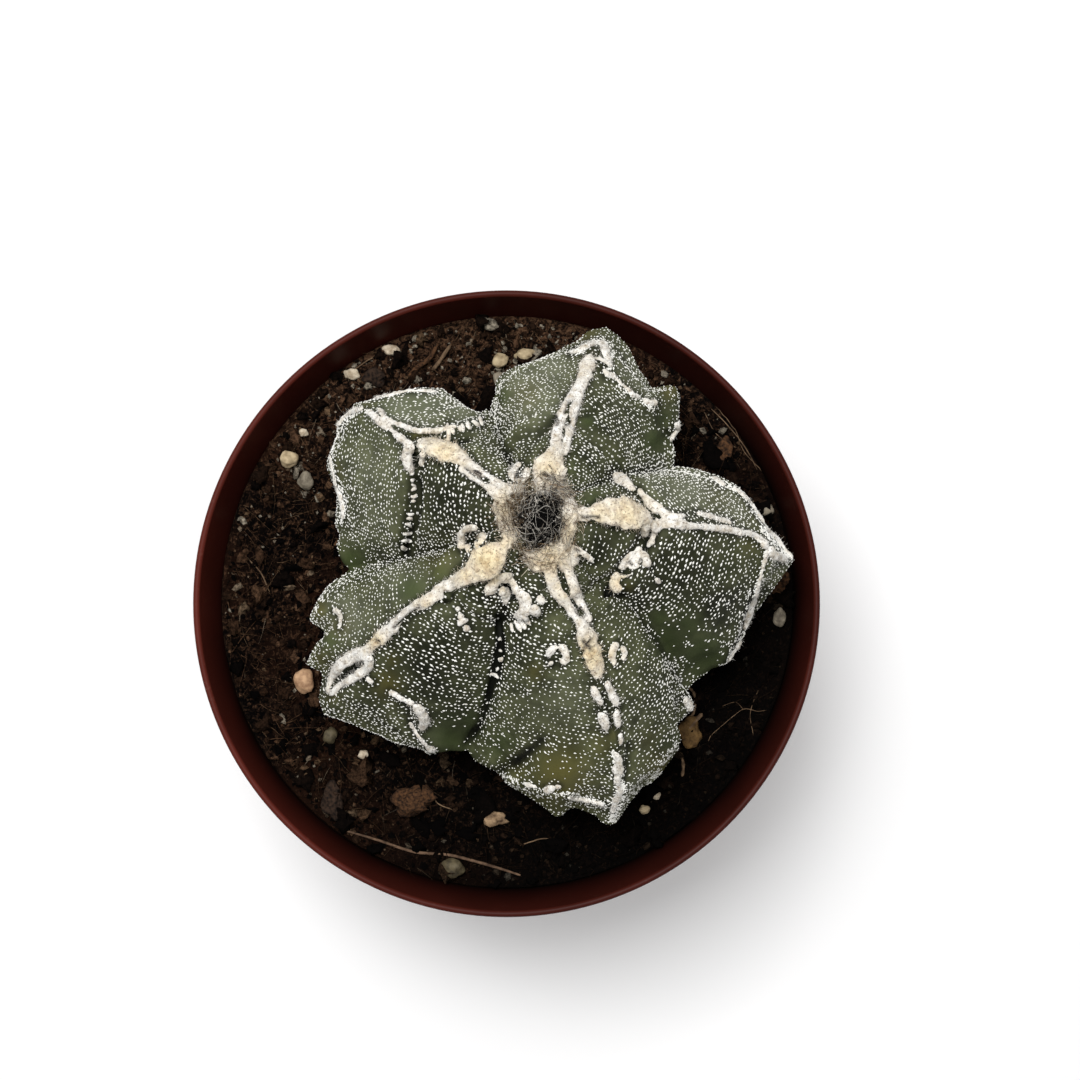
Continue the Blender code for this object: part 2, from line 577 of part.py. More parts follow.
def main():
    clear_scene()
    plastic = material("pot_plastic", (0.17, 0.045, 0.03), 0.42)
    peat = material("peat", (0.025, 0.015, 0.01), 0.95)
    green = material("cactus_skin", (0.09, 0.12, 0.065), 0.6)
    cream = material("cream_wool", (0.72, 0.62, 0.44), 0.95)
    dark_hair = material("dark_hair", (0.09, 0.085, 0.08), 0.9)
    pale_stone = material("pale_stone", (0.5, 0.42, 0.32), 0.8)
    bark = material("bark", (0.12, 0.065, 0.035), 0.9)

    make_pot(plastic)
    soil = make_soil(peat)
    skin = skin_points(BODY_LEVELS, FLANK_COLUMNS)
    normals = skin_normals(skin)
    make_body(skin, green)
    make_wool(skin, normals, cream)
    make_tuft(skin, dark_hair)
    ground = surface_of(soil)
    for i, sizes in enumerate(STONES, 1):
        lump(f"stone_{i:02d}", sizes, ground, STONE_ROUGHNESS, i, pale_stone)
    for i, sizes in enumerate(CHIPS, 1):
        lump(f"bark_chip_{i}", sizes, ground, CHIP_ROUGHNESS, len(STONES) + i, bark)
    thread("root_fibre", ROOT_FIBRE, FIBRE_RADIUS, ground, bark)
    thread("twig", TWIG, 1.4 * FIBRE_RADIUS, ground, bark)


main()
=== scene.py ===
# %% [markdown]
# # A potted bishop's cap cactus, seen from above
#
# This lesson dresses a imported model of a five-ribbed cactus in a plastic pot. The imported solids
# give every size and place. Each cell adds the finer form and the finish of one part of it: the
# pot, the peat and what lies on it, the skin with its white flecks, the wool along the crests,
# and the tangle of hair on the growing tip.

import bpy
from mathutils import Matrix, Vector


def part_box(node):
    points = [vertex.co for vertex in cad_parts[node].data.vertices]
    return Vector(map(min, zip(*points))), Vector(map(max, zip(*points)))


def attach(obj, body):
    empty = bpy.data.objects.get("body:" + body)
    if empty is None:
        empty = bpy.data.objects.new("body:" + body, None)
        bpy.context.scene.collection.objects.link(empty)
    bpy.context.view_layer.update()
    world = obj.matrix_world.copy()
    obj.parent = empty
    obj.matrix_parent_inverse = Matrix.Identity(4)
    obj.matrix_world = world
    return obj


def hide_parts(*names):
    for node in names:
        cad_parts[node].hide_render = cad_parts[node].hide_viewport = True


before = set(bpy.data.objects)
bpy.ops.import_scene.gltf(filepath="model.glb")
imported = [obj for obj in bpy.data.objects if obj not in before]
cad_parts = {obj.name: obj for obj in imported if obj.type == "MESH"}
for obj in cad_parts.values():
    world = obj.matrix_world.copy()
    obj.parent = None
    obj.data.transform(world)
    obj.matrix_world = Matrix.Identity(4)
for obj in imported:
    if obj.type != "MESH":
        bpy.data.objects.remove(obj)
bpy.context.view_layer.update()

# %% The modules that the lesson uses
import math

import bmesh
import bpy
import numpy as np
from mathutils import Matrix, Vector, noise
from mathutils.bvhtree import BVHTree

MM = 0.001  # Blender works in metres, and the sizes below are in millimetres
SEED = 12
print("Blender", bpy.app.version_string)

# %% [markdown]
# ## The eye of the photograph
#
# The photograph looks straight down on the pot from about 40 cm above its rim. Its frame spans
# 206.4 mm at the height of the rim. With the eye's place known, each pixel of the photograph is
# a line of sight, and a mark that shows at a pixel lies where its line meets the skin. That puts
# a pad or a white line on the surface itself, so that it is right from every side.

# %% The eye and its lines of sight
EYE = np.array((6.4, 12.2, 492.0))
RIM_TOP = 1000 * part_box("pot")[1].z
FRAME_SPAN = 206.4
FRAME_PIXELS = 1080
PIXELS_PER_MM = FRAME_PIXELS / FRAME_SPAN


def pixel_of(points):
    """The photograph's pixels, (x, y), at which points in mm would show."""
    points = np.asarray(points, float)
    nearness = (EYE[2] - RIM_TOP) / (EYE[2] - points[..., 2])
    across = FRAME_PIXELS / 2 + (points[..., 0] - EYE[0]) * PIXELS_PER_MM * nearness
    down = FRAME_PIXELS / 2 - (points[..., 1] - EYE[1]) * PIXELS_PER_MM * nearness
    return np.stack((across, down), axis=-1)


def line_of_sight(pixel):
    """The direction in which the eye sees a pixel."""
    across = (pixel[0] - FRAME_PIXELS / 2) / PIXELS_PER_MM
    up = (FRAME_PIXELS / 2 - pixel[1]) / PIXELS_PER_MM
    return Vector((across, up, RIM_TOP - EYE[2])).normalized()


print("the pot's middle shows at", pixel_of((0, 0, RIM_TOP)).round(1))

# %% [markdown]
# ## Helpers for making pieces
#
# Every finished piece is a mesh whose object stays at the origin, so its place is in its points.
# It rides on the only body there is, "root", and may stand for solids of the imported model.
# Shapes that recur by the thousand, such as flecks, crumbs and hairs, come from one small
# template: an Array modifier repeats it, and each copy is then carried to its own place.

# %% Read and write a mesh's points, and finish a piece
def points_of(mesh, what="co"):
    """The places of a mesh's points, or their normals."""
    values = np.empty(3 * len(mesh.vertices))
    mesh.vertices.foreach_get(what, values)
    return values.reshape(-1, 3)


def set_points(mesh, points):
    mesh.vertices.foreach_set("co", np.ascontiguousarray(points, np.float32).ravel())
    mesh.update()


def mesh_from(bm, name):
    mesh = bpy.data.meshes.new(name)
    bm.to_mesh(mesh)
    bm.free()
    return mesh


def new_object(name, data):
    """An object in the scene, made from a mesh, a lamp or a camera."""
    made = bpy.data.objects.new(name, data)
    bpy.context.scene.collection.objects.link(made)
    return made


def add_piece(name, mesh, finish, stands_for=(), smooth=True):
    """Puts a finished mesh, in metres, into the scene as a piece of the object."""
    if smooth:
        mesh.shade_smooth()
    mesh.materials.clear()
    mesh.materials.append(finish)
    piece = new_object(name, mesh)
    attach(piece, "root")
    if stands_for:
        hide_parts(*stands_for)
    mesh.calc_loop_triangles()
    print(f"{name}: {len(mesh.loop_triangles)} triangles")
    return piece


# %% Apply modifiers, and repeat a template
def applied(mesh, *modifiers):
    """A mesh as its modifiers leave it. Each of them is a kind and its settings."""
    helper = new_object(mesh.name, mesh)
    for kind, settings in modifiers:
        added = helper.modifiers.new(kind, kind)
        for name, value in settings.items():
            setattr(added, name, value)
    graph = bpy.context.evaluated_depsgraph_get()
    made = bpy.data.meshes.new_from_object(helper.evaluated_get(graph))
    bpy.data.objects.remove(helper)
    return made


def repeated(template, count, name):
    """A mesh of count copies of a template, all in the template's place."""
    return applied(mesh_from(template, name), ("ARRAY", {"count": count, "use_relative_offset": False}))


# %% Strew copies of a template
def strewn(name, template, places, turns, sizes):
    """Copies of a template, turned by 3 x 3 matrices, scaled and moved to places in mm."""
    corners = np.array([vert.co for vert in template.verts])
    mesh = repeated(template, len(places), name)
    scaled = corners[None] * sizes[:, None]
    placed = places[:, None] + np.einsum("nij,nkj->nki", turns, scaled)
    set_points(mesh, placed.reshape(-1, 3) * MM)
    return mesh


def paint(mesh, name, values):
    """Stores one number for each point of a mesh, for its material to read."""
    layer = mesh.attributes.new(name, "FLOAT", "POINT")
    layer.data.foreach_set("value", np.ascontiguousarray(values, np.float32))


# %% Directions and turns
def unit(vectors):
    """Vectors of length 1 in the same directions."""
    return vectors / np.linalg.norm(vectors, axis=-1, keepdims=True)


def frames_along(normals, headings):
    """Matrices whose Z is a normal and whose X is the heading, made square to it."""
    across = headings - (headings * normals).sum(1, keepdims=True) * normals
    across /= np.linalg.norm(across, axis=1, keepdims=True) + 1e-12
    return np.stack((across, np.cross(normals, across), normals), axis=2)


def random_headings(draw, count):
    return unit(draw.normal(size=(count, 3)))


# %% [markdown]
# ## A few words for materials
#
# A finish here is a Principled shader with a handful of texture nodes in front of it. All
# patterns read Object coordinates, in metres, so a noise of scale 1000 has grains of a
# millimetre. Colours are given as they would be picked from a screen, and made linear.

# %% Colours, finishes and nodes
def screen(red, green, blue):
    """A colour picked from a screen, 0 to 255, as linear light."""
    shares = [value / 255 for value in (red, green, blue)]
    return (*[s / 12.92 if s < 0.04045 else ((s + 0.055) / 1.055) ** 2.4 for s in shares], 1.0)


def neutral(share):
    """A grey of linear light, from 0 to 1."""
    return (share, share, share, 1.0)


def new_finish(name, roughness, **constants):
    made = bpy.data.materials.new(name)
    made.use_nodes = True
    shader = made.node_tree.nodes["Principled BSDF"]
    shader.inputs["Roughness"].default_value = roughness
    for socket, value in constants.items():
        shader.inputs[socket.replace("_", " ")].default_value = value
    return made


def add_node(finish, kind, inputs, **settings):
    """Adds a node. inputs gives each socket a constant or the output that feeds it."""
    node = finish.node_tree.nodes.new(kind)
    for name, value in settings.items():
        setattr(node, name, value)
    for socket, value in inputs.items():
        if isinstance(value, bpy.types.NodeSocket):
            finish.node_tree.links.new(value, node.inputs[socket])
        else:
            node.inputs[socket].default_value = value
    return node


# %% Noise, painted numbers and colour ramps
def grain(finish, scale, detail=3.0, roughness=0.5, distortion=0.0):
    """Noise on Object coordinates: its factor. Distortion draws its grains out into swirls."""
    place = add_node(finish, "ShaderNodeTexCoord", {}).outputs["Object"]
    made = add_node(finish, "ShaderNodeTexNoise",
                    {"Vector": place, "Scale": scale, "Detail": detail, "Roughness": roughness,
                     "Distortion": distortion})
    return made.outputs["Fac"]


def painted(finish, name):
    return add_node(finish, "ShaderNodeAttribute", {}, attribute_name=name).outputs["Fac"]


def ramp(finish, factor, *stops):
    """A colour ramp through (place, colour) stops."""
    made = add_node(finish, "ShaderNodeValToRGB", {"Fac": factor})
    elements = made.color_ramp.elements
    while len(elements) < len(stops):
        elements.new(0.5)
    for element, (place, colour) in zip(elements, stops):
        element.position = place
        element.color = colour
    return made.outputs["Color"]


# %% Mix colours and dress the shader
def mixed(finish, factor, first, second, blend="MIX"):
    """Two colours mixed by a factor. Blender keeps a Mix node's colours in sockets 6 and 7."""
    made = add_node(finish, "ShaderNodeMix", {}, data_type="RGBA", blend_type=blend)
    for place, value in ((0, factor), (6, first), (7, second)):
        if isinstance(value, bpy.types.NodeSocket):
            finish.node_tree.links.new(value, made.inputs[place])
        else:
            made.inputs[place].default_value = value
    return made.outputs[2]


def dress(finish, colour, height=None, depth=0.0002, strength=0.6):
    """Feeds the shader its colour and, from a height, its bump. depth is in metres."""
    shader = finish.node_tree.nodes["Principled BSDF"]
    finish.node_tree.links.new(colour, shader.inputs["Base Color"])
    if height is not None:
        bump = add_node(finish, "ShaderNodeBump",
                        {"Height": height, "Distance": depth, "Strength": strength})
        finish.node_tree.links.new(bump.outputs["Normal"], shader.inputs["Normal"])
    return finish


# %% [markdown]
# ## The pot
#
# A grower's pot is blown or pressed from thin coloured plastic: a tapered wall, a collar below a
# rounded lip, a foot ring, and holes in its floor. It is turned here from one outline, with the
# lip as a half round, and the holes are cut by upright cylinders. The plastic is a dull red
# brown with a little dust. Shade is painted on its inside, more and more downwards and towards
# the front right, and on the right half of its lip, as one number for each point of the mesh.

# %% The finish of the pot
POT_RED = screen(94, 38, 29)
POT_DARK = screen(82, 33, 25)
POT_DUST = screen(116, 74, 62)
# The colour of the shade painted on the pot's inside and on its lip.
POT_SHADE = screen(6, 2, 1)
plastic = new_finish("pot_plastic", 0.5, Specular_IOR_Level=0.1)
worn = ramp(plastic, grain(plastic, 60.0), (0.35, POT_DARK), (0.65, POT_RED))
dusty = ramp(plastic, grain(plastic, 900.0, 5.0), (0.62, neutral(0)), (0.8, neutral(0.35)))
# Painted shade darkens the worn and dusty plastic by the painted number.
shaded_plastic = mixed(plastic, painted(plastic, "pot_shade"), mixed(plastic, dusty, worn, POT_DUST), POT_SHADE)
dress(plastic, shaded_plastic, grain(plastic, 1500.0, 4.0), 0.00006, 0.35)
print("finish", plastic.name)

# %% The sizes of the pot
RIM_RADIUS = 1000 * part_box("pot")[1].x
FOOT_RADIUS = 43.5
FOOT_WIDTH = 3.5
FOOT_HEIGHT = 3.0
WALL = 1.3
COLLAR_HEIGHT = 11.0
COLLAR_STEP = 1.0
FLOOR_CORNER = 2.0
EDGE_ROUND = 0.5
POT_SIDES = 200
DRAIN_HOLES = 6
DRAIN_RADIUS = 4.0
DRAIN_REACH = 28.0
CUTTER_LENGTH = 12.0


def wall_radius(height):
    """The pot's outer radius below the collar."""
    top = RIM_RADIUS - COLLAR_STEP
    return FOOT_RADIUS + (top - FOOT_RADIUS) * height / RIM_TOP


print("pot", 2 * RIM_RADIUS, "mm over its rim and", RIM_TOP, "mm high")

# %% Draw and turn an outline
def arc(centre, radius, start, end, steps):
    """Points of a round corner, by angles in degrees."""
    turns = np.radians(np.linspace(start, end, steps))
    return [(centre[0] + radius * math.cos(turn), centre[1] + radius * math.sin(turn))
            for turn in turns]


def turned(outline, sides):
    """A closed (radius, height) outline in mm, turned once about the upright axis."""
    bm = bmesh.new()
    corners = [bm.verts.new((radius * MM, 0.0, height * MM)) for radius, height in outline]
    edges = [bm.edges.new(pair) for pair in zip(corners, corners[1:] + corners[:1])]
    bmesh.ops.spin(bm, geom=corners + edges, cent=(0, 0, 0), axis=(0, 0, 1), angle=math.tau,
                   steps=sides, use_merge=True)
    bmesh.ops.remove_doubles(bm, verts=bm.verts, dist=1e-6)
    bmesh.ops.recalc_face_normals(bm, faces=bm.faces)
    return bm


def pot_outline():
    collar = RIM_TOP - COLLAR_HEIGHT
    floor = FOOT_HEIGHT + WALL
    lip = WALL / 2
    outline = arc((FOOT_RADIUS - EDGE_ROUND, EDGE_ROUND), EDGE_ROUND, -90, 0, 5)
    outline += [(wall_radius(height), height) for height in np.linspace(4, collar - 1, 8)]
    outline += arc((wall_radius(collar) + COLLAR_STEP - EDGE_ROUND, collar + 0.6), EDGE_ROUND, -70, 0, 4)
    outline += arc((RIM_RADIUS - lip, RIM_TOP - lip), lip, 0, 180, 13)
    outline += [(wall_radius(height) - WALL + 0.4, height)
                for height in np.linspace(collar, floor + 4, 10)]
    outline += arc((wall_radius(floor) - WALL - FLOOR_CORNER, floor + FLOOR_CORNER),
                   FLOOR_CORNER, 0, -90, 6)
    outline += [(DRAIN_RADIUS, floor), (DRAIN_RADIUS, FOOT_HEIGHT),
                (FOOT_RADIUS - FOOT_WIDTH, FOOT_HEIGHT)]
    outline += arc((FOOT_RADIUS - FOOT_WIDTH + EDGE_ROUND, EDGE_ROUND), EDGE_ROUND, 180, 270, 5)
    return outline


print("the pot's outline has", len(pot_outline()), "corners")

# %% Cut the drain holes
def cut_drains(pot):
    """Cuts the ring of drain holes out of the pot's floor."""
    cutters = bmesh.new()
    for i in range(DRAIN_HOLES):
        turn = math.tau * (i + 0.5) / DRAIN_HOLES
        place = Matrix.Translation(Vector((math.cos(turn), math.sin(turn), 0)) * DRAIN_REACH * MM)
        bmesh.ops.create_cone(cutters, cap_ends=True, segments=32, radius1=DRAIN_RADIUS * MM,
                              radius2=DRAIN_RADIUS * MM, depth=CUTTER_LENGTH * MM, matrix=place)
    tool = new_object("drain_tool", mesh_from(cutters, "drain_tool"))
    drained = applied(pot, ("BOOLEAN", {"operation": "DIFFERENCE", "object": tool}))
    bpy.data.objects.remove(tool)
    return drained


pot_mesh = cut_drains(mesh_from(turned(pot_outline(), POT_SIDES), "turned_pot"))
pot_mesh.shade_smooth()
pot_mesh.set_sharp_from_angle(angle=math.radians(40))
print("the pot has", len(pot_mesh.polygons), "faces")

# %% Paint shade on the plastic and place the pot
# Painted shade on the pot: deeper down the inner wall and towards the front right, and on the right half of
# the lip.
SHADE_DEPTH = 14.0  # mm down the inner wall to the full stain
SHADE_AT_TOP = 0.25
SHADE_SPREAD = 80.0  # mm across the pot, from its pale back left to its dark front right
LIP_SHADE = 0.5


def pot_shade_of(points):
    """How much painted shade darkens the plastic: on the inner wall, and on the right half of the lip."""
    x, y, z = points.T
    from_axis = np.linalg.norm(points[:, :2], axis=1)
    inside = (from_axis < wall_radius(z) - WALL / 2) & (z > FOOT_HEIGHT + WALL / 2)
    inner_shade = (RIM_TOP - z) / SHADE_DEPTH + SHADE_AT_TOP + (0.5 * x - y) / SHADE_SPREAD
    shaded_lip = LIP_SHADE * np.clip(1 + x / RIM_RADIUS, 0, 1) * (z > RIM_TOP - WALL)
    return np.where(inside, np.clip(inner_shade, 0, 0.99), shaded_lip)


paint(pot_mesh, "pot_shade", pot_shade_of(points_of(pot_mesh) / MM))
add_piece("turned_pot", pot_mesh, plastic, ["pot"], smooth=False)

# %% [markdown]
# ## The peat
#
# The soil is old peat with coir: nearly black crumbs of all sizes, short brown fibres, and a
# redder drift here and there. It is paler where it has dried, at the back, and painted shade
# makes it nearly black at the front right. Its surface is turned as a disc of fine rings and
# roughened by noise at four sizes, and it keeps the well in which the plant's neck stands. Loose
# crumbs and fibres are then strewn on it, as they are what breaks up the outline of real peat.

# %% The finish of the peat
PEAT_BLACK = screen(4, 2, 2)
PEAT_DARK = screen(24, 16, 12)
PEAT_BROWN = screen(66, 46, 33)
PEAT_PALE = screen(118, 88, 66)
PEAT_RED = screen(70, 42, 27)
# The colour of the shade painted on the peat at the front right.
PEAT_SHADE = screen(6, 4, 3)
STRAW = screen(132, 106, 80)
GRIT = screen(184, 172, 152)
peat = new_finish("peat", 0.95, Specular_IOR_Level=0.05)
tangle = grain(peat, 850.0, 9.0, 0.72, 1.2)
lifted = add_node(peat, "ShaderNodeMath", {0: tangle, 1: painted(peat, "dry")}, operation="ADD").outputs[0]
mottle = ramp(peat, lifted, (0.46, PEAT_BLACK), (0.53, PEAT_DARK), (0.6, PEAT_BROWN),
              (0.69, PEAT_PALE))
drift = ramp(peat, grain(peat, 45.0, 2.0), (0.48, neutral(0)), (0.68, neutral(0.35)))
drifted = mixed(peat, drift, mottle, PEAT_RED)
# Painted shade darkens the peat towards the front right.
dress(peat, mixed(peat, painted(peat, "front_shade"), drifted, PEAT_SHADE), tangle, 0.0016, 1.0)
print("finish", peat.name)

# %% The finish of the crumbs
crumb_peat = new_finish("crumb_peat", 0.95, Specular_IOR_Level=0.05)
kinds = ramp(crumb_peat, painted(crumb_peat, "shade"), (0.0, PEAT_BLACK), (0.3, PEAT_DARK),
             (0.6, PEAT_BROWN), (0.82, PEAT_PALE), (0.93, STRAW), (0.99, GRIT))
mealy = grain(crumb_peat, 1500.0, 7.0, 0.7)
speckle = ramp(crumb_peat, mealy, (0.4, neutral(0.2)), (0.62, neutral(1)))
speckled_kinds = mixed(crumb_peat, 1.0, kinds, speckle, "MULTIPLY")
# Painted shade darkens the crumbs and fibres towards the front right.
crumb_colour = mixed(crumb_peat, painted(crumb_peat, "front_shade"), speckled_kinds, PEAT_SHADE)
dress(crumb_peat, crumb_colour, mealy, 0.0009, 1.0)
print("finish", crumb_peat.name)

# %% The lie of the soil
SOIL_TOP = RIM_TOP - 10.0
SOIL_EDGE = 1000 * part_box("soil")[1].x
SOIL_BOTTOM = 1000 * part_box("soil")[0].z
SOIL_SIDES = 270
ROOT = np.array((7.0, 4.0))  # where the plant's neck enters the soil, in plan
NECK_RADIUS = 16.0
NECK_WELL = 9.3
LEVEL_REACH = 32.0  # the soil is level this far from the neck, under the plant
# (mm across, mm high, noise offset)
CRUMB_SIZES = ((9.0, 1.0, 0.0), (3.5, 0.9, 0.0), (1.7, 0.7, 3.0), (0.9, 0.35, 7.0))


def soil_rise(x, y):
    """The height of the soil's crumbs above its mean level, in mm."""
    from_neck = math.hypot(x - ROOT[0], y - ROOT[1])
    if from_neck < NECK_RADIUS:
        return -NECK_WELL
    fade = min(max((from_neck - LEVEL_REACH) / 6.0, 0.0), 1.0)
    rise = 0.0
    for across, high, offset in CRUMB_SIZES:
        share = fade if offset == 0.0 else 1.0
        rise += share * high * noise.noise(Vector((x, y, SEED)) / across + Vector((offset, 0, 0)))
    return rise


print("soil", SOIL_TOP, "mm above the floor")

# %% Turn and roughen the soil
FOOT_SLOPE = 3.0  # mm high
FOOT_GAP = 4.3  # mm from the pot's outer side to the soil at its bottom
SIDE_GAP = 1.7
EDGE_DROP = 0.6
FIRST_RING = 14.0  # mm, inside the well
SOIL_RINGS = 92
ABOVE_ALL = 0.2  # m, higher than the whole object
rings = np.concatenate(([0.0], np.linspace(FIRST_RING, SOIL_EDGE - 0.4, SOIL_RINGS)))
slope_top = SOIL_BOTTOM + FOOT_SLOPE
soil_outline = [(0.0, SOIL_BOTTOM), (wall_radius(SOIL_BOTTOM) - FOOT_GAP, SOIL_BOTTOM),
                (wall_radius(slope_top) - SIDE_GAP, slope_top), (SOIL_EDGE, SOIL_TOP - EDGE_DROP)]
soil_outline += [(radius, SOIL_TOP) for radius in rings[::-1]]
soil_bm = turned(soil_outline, SOIL_SIDES)
for vert in soil_bm.verts:
    if vert.co.z > (SOIL_TOP - 0.1) * MM:
        vert.co.z += soil_rise(vert.co.x / MM, vert.co.y / MM) * MM
soil_tree = BVHTree.FromBMesh(soil_bm)
soil_mesh = mesh_from(soil_bm, "peat_surface")


def height_at(tree, x, y):
    """The height in mm at which a line from above meets a tree's mesh, or None."""
    hit = tree.ray_cast(Vector((x * MM, y * MM, ABOVE_ALL)), Vector((0, 0, -1)))[0]
    return None if hit is None else hit.z / MM


print("the soil's height at the left", round(height_at(soil_tree, -50.0, 0.0), 1), "mm")

# %% Dry peat, and painted shade at the front right
DRY_START = 20.0  # mm behind the middle of the pot
DRY_REACH = 60.0  # mm
MOST_DRY = 0.6
DRY_LIFT = 0.16  # how much paler the driest of the surface is
# Painted shade on the peat, crumbs and fibres, darker towards the front right.
FRONT_SHADE_MIDDLE = 0.25
FRONT_SHADE_REACH = 90.0  # mm
MOST_FRONT_SHADE = 0.88


def dryness(places):
    """How dry the peat has become towards the back of the pot."""
    return np.clip((places[:, 1] - 0.2 * places[:, 0] - DRY_START) / DRY_REACH, 0.0, MOST_DRY)


def paint_front_shade(mesh, places, copies=1):
    """Paints shade on the peat, darker towards the front right of the pot."""
    front_shade = np.clip(FRONT_SHADE_MIDDLE + (places[:, 0] - places[:, 1]) / FRONT_SHADE_REACH, 0.0, MOST_FRONT_SHADE)
    paint(mesh, "front_shade", np.repeat(front_shade, copies))


paint_front_shade(soil_mesh, points_of(soil_mesh) / MM)
paint(soil_mesh, "dry", DRY_LIFT * dryness(points_of(soil_mesh) / MM))
add_piece("peat_surface", soil_mesh, peat, ["soil"])

# %% [markdown]
# ### Crumbs and fibres
#
# Three templates serve for all crumbs: a grain of 8 faces for the dust, a rough ball of 20 for the
# fine crumbs and one of 80 for the clods. They are turned and stretched at random, and the
# smallest and darkest are the most common. A fibre is a thin three-sided tube, bent by moving
# its rings sideways, and it lies nearly flat. Both are left out under the plant, where nothing
# shows. All random numbers of the lesson come from one seeded generator.

# %% Templates for crumbs
draw = np.random.default_rng(SEED)


def dust_grain():
    """A grain of eight faces, for what is too small to show more."""
    bm = bmesh.new()
    bmesh.ops.create_uvsphere(bm, u_segments=4, v_segments=2, radius=1.0)
    return bm


def rough_crumb(subdivisions, roughness):
    bm = bmesh.new()
    bmesh.ops.create_icosphere(bm, subdivisions=subdivisions, radius=1.0)
    for vert in bm.verts:
        coarse = roughness * noise.noise(vert.co * 1.7 + Vector((SEED, 0, 0)))
        vert.co *= 1.0 + coarse + 0.5 * roughness * noise.noise(vert.co * 4.3 + Vector((0, SEED, 0)))
    return bm


print("draws start from seed", SEED)

# %% Bent hairs
def hair_template(cuts):
    """A three-sided tube of length 1 up Z that thins to its tip."""
    bm = bmesh.new()
    bmesh.ops.create_cone(bm, cap_ends=True, segments=3, radius1=1.0, radius2=0.25, depth=1.0,
                          matrix=Matrix.Translation((0, 0, 0.5)))
    upright = [edge for edge in bm.edges if abs(edge.verts[0].co.z - edge.verts[1].co.z) > 0.5]
    bmesh.ops.subdivide_edges(bm, edges=upright, cuts=cuts, use_grid_fill=True)
    return bm


def bent_hairs(name, cuts, roots, turns, lengths, radii, bends, curls):
    """Hairs from one template: each bends by its own amount along X and curls along Y, in mm."""
    template = hair_template(cuts)
    corners = np.array([vert.co for vert in template.verts])
    mesh = repeated(template, len(roots), name)
    along_hair = corners[:, 2]
    local = np.empty((len(roots), len(corners), 3))
    local[..., 0] = radii[:, None] * corners[:, 0] + bends[:, None] * along_hair**2
    local[..., 1] = radii[:, None] * corners[:, 1] + curls[:, None] * np.sin(math.tau * along_hair)
    local[..., 2] = lengths[:, None] * along_hair
    placed = roots[:, None] + np.einsum("nij,nkj->nki", turns, local)
    set_points(mesh, placed.reshape(-1, 3) * MM)
    return mesh


# %% Random places on the soil
HIDDEN_REACH = 26.0  # mm from the neck, where the ribs hide the soil
EDGE_GAP = 0.9


def soil_places(count):
    """Random places on the soil that the ribs leave in sight, in mm, on its surface."""
    places = []
    while len(places) < count:
        radius = (SOIL_EDGE - EDGE_GAP) * math.sqrt(draw.uniform())
        turn = draw.uniform(0, math.tau)
        x, y = radius * math.cos(turn), radius * math.sin(turn)
        if math.hypot(x - ROOT[0], y - ROOT[1]) > HIDDEN_REACH:
            places.append((x, y, height_at(soil_tree, x, y)))
    return np.array(places)


def random_turns(count):
    up = random_headings(draw, count)
    return frames_along(up, random_headings(draw, count))


# %% Strew the crumbs
SMALLER = 2.2  # the higher, the more of the crumbs are small
DARKER = 1.7  # the higher, the more of them are dark
SUNK = 0.35  # of a crumb's least radius


def strew_crumbs(name, template, count, smallest, largest, smooth):
    """Crumbs of a template, from the smallest to the largest width in mm."""
    corners = len(template.verts)
    sizes = smallest * (largest / smallest) ** (draw.uniform(size=(count, 1)) ** SMALLER)
    sizes = sizes * draw.uniform(0.55, 1.3, (count, 3)) / 2
    places = soil_places(count)
    places[:, 2] += SUNK * sizes.min(axis=1)
    mesh = strewn(name, template, places, random_turns(count), sizes)
    shades = draw.uniform(size=count) ** DARKER + 0.6 * dryness(places)
    paint(mesh, "shade", np.repeat(np.clip(shades, 0, 1), corners))
    paint_front_shade(mesh, places, corners)
    add_piece(name, mesh, crumb_peat, smooth=smooth)


strew_crumbs("dust_grains", dust_grain(), 8500, 0.4, 1.2, False)
strew_crumbs("fine_crumbs", rough_crumb(1, 0.8), 2100, 0.8, 2.0, False)
strew_crumbs("clods", rough_crumb(2, 1.3), 420, 1.5, 4.2, True)

# %% Strew the fibres
WALL_CLEARANCE = 3.0  # a fibre that would end nearer the wall is turned round
FIBRES = 2900
fibre_roots = soil_places(FIBRES) + (0, 0, 0.5)
fibre_lengths = 1.2 + 8.0 * draw.uniform(size=FIBRES) ** 2.5
fibre_headings = draw.uniform(0, math.tau, FIBRES)
lying = np.column_stack((np.cos(fibre_headings), np.sin(fibre_headings),
                         draw.uniform(-0.1, 0.2, FIBRES)))
far_ends = fibre_roots + fibre_lengths[:, None] * lying
lying[np.linalg.norm(far_ends[:, :2], axis=1) > SOIL_EDGE - WALL_CLEARANCE, :2] *= -1
lying = unit(lying)
fibre_turns = frames_along(lying, random_headings(draw, FIBRES))
fibre_mesh = bent_hairs("peat_fibres", 2, fibre_roots, fibre_turns, fibre_lengths,
                        draw.uniform(0.05, 0.12, FIBRES), draw.uniform(-0.3, 0.3, FIBRES) * fibre_lengths,
                        draw.uniform(-0.3, 0.3, FIBRES))
fibre_corners = len(fibre_mesh.vertices) // FIBRES
paint(fibre_mesh, "shade", np.repeat(draw.uniform(0.45, 0.96, FIBRES), fibre_corners))
paint_front_shade(fibre_mesh, fibre_roots, fibre_corners)
add_piece("peat_fibres", fibre_mesh, crumb_peat)

# %% [markdown]
# ## What lies on the peat
#
# Grit, pebbles and chips lie where their solids are. Each is a ball roughened by the same noise
# as its solid, at more points, and then fitted to the solid's box. The pale grit is chalky, the
# pebbles are smoother, and the chips are bark, dark scraps, a dry leaf and a broken shell.

# %% The finishes of grit, pebbles and chips
def stone_finish(name, dark, light, roughness, grains=600.0):
    made = new_finish(name, roughness, Specular_IOR_Level=0.2)
    colour = ramp(made, grain(made, grains, 6.0, 0.6), (0.35, dark), (0.62, light))
    return dress(made, colour, grain(made, 1400.0, 6.0, 0.6), 0.0003, 0.7)


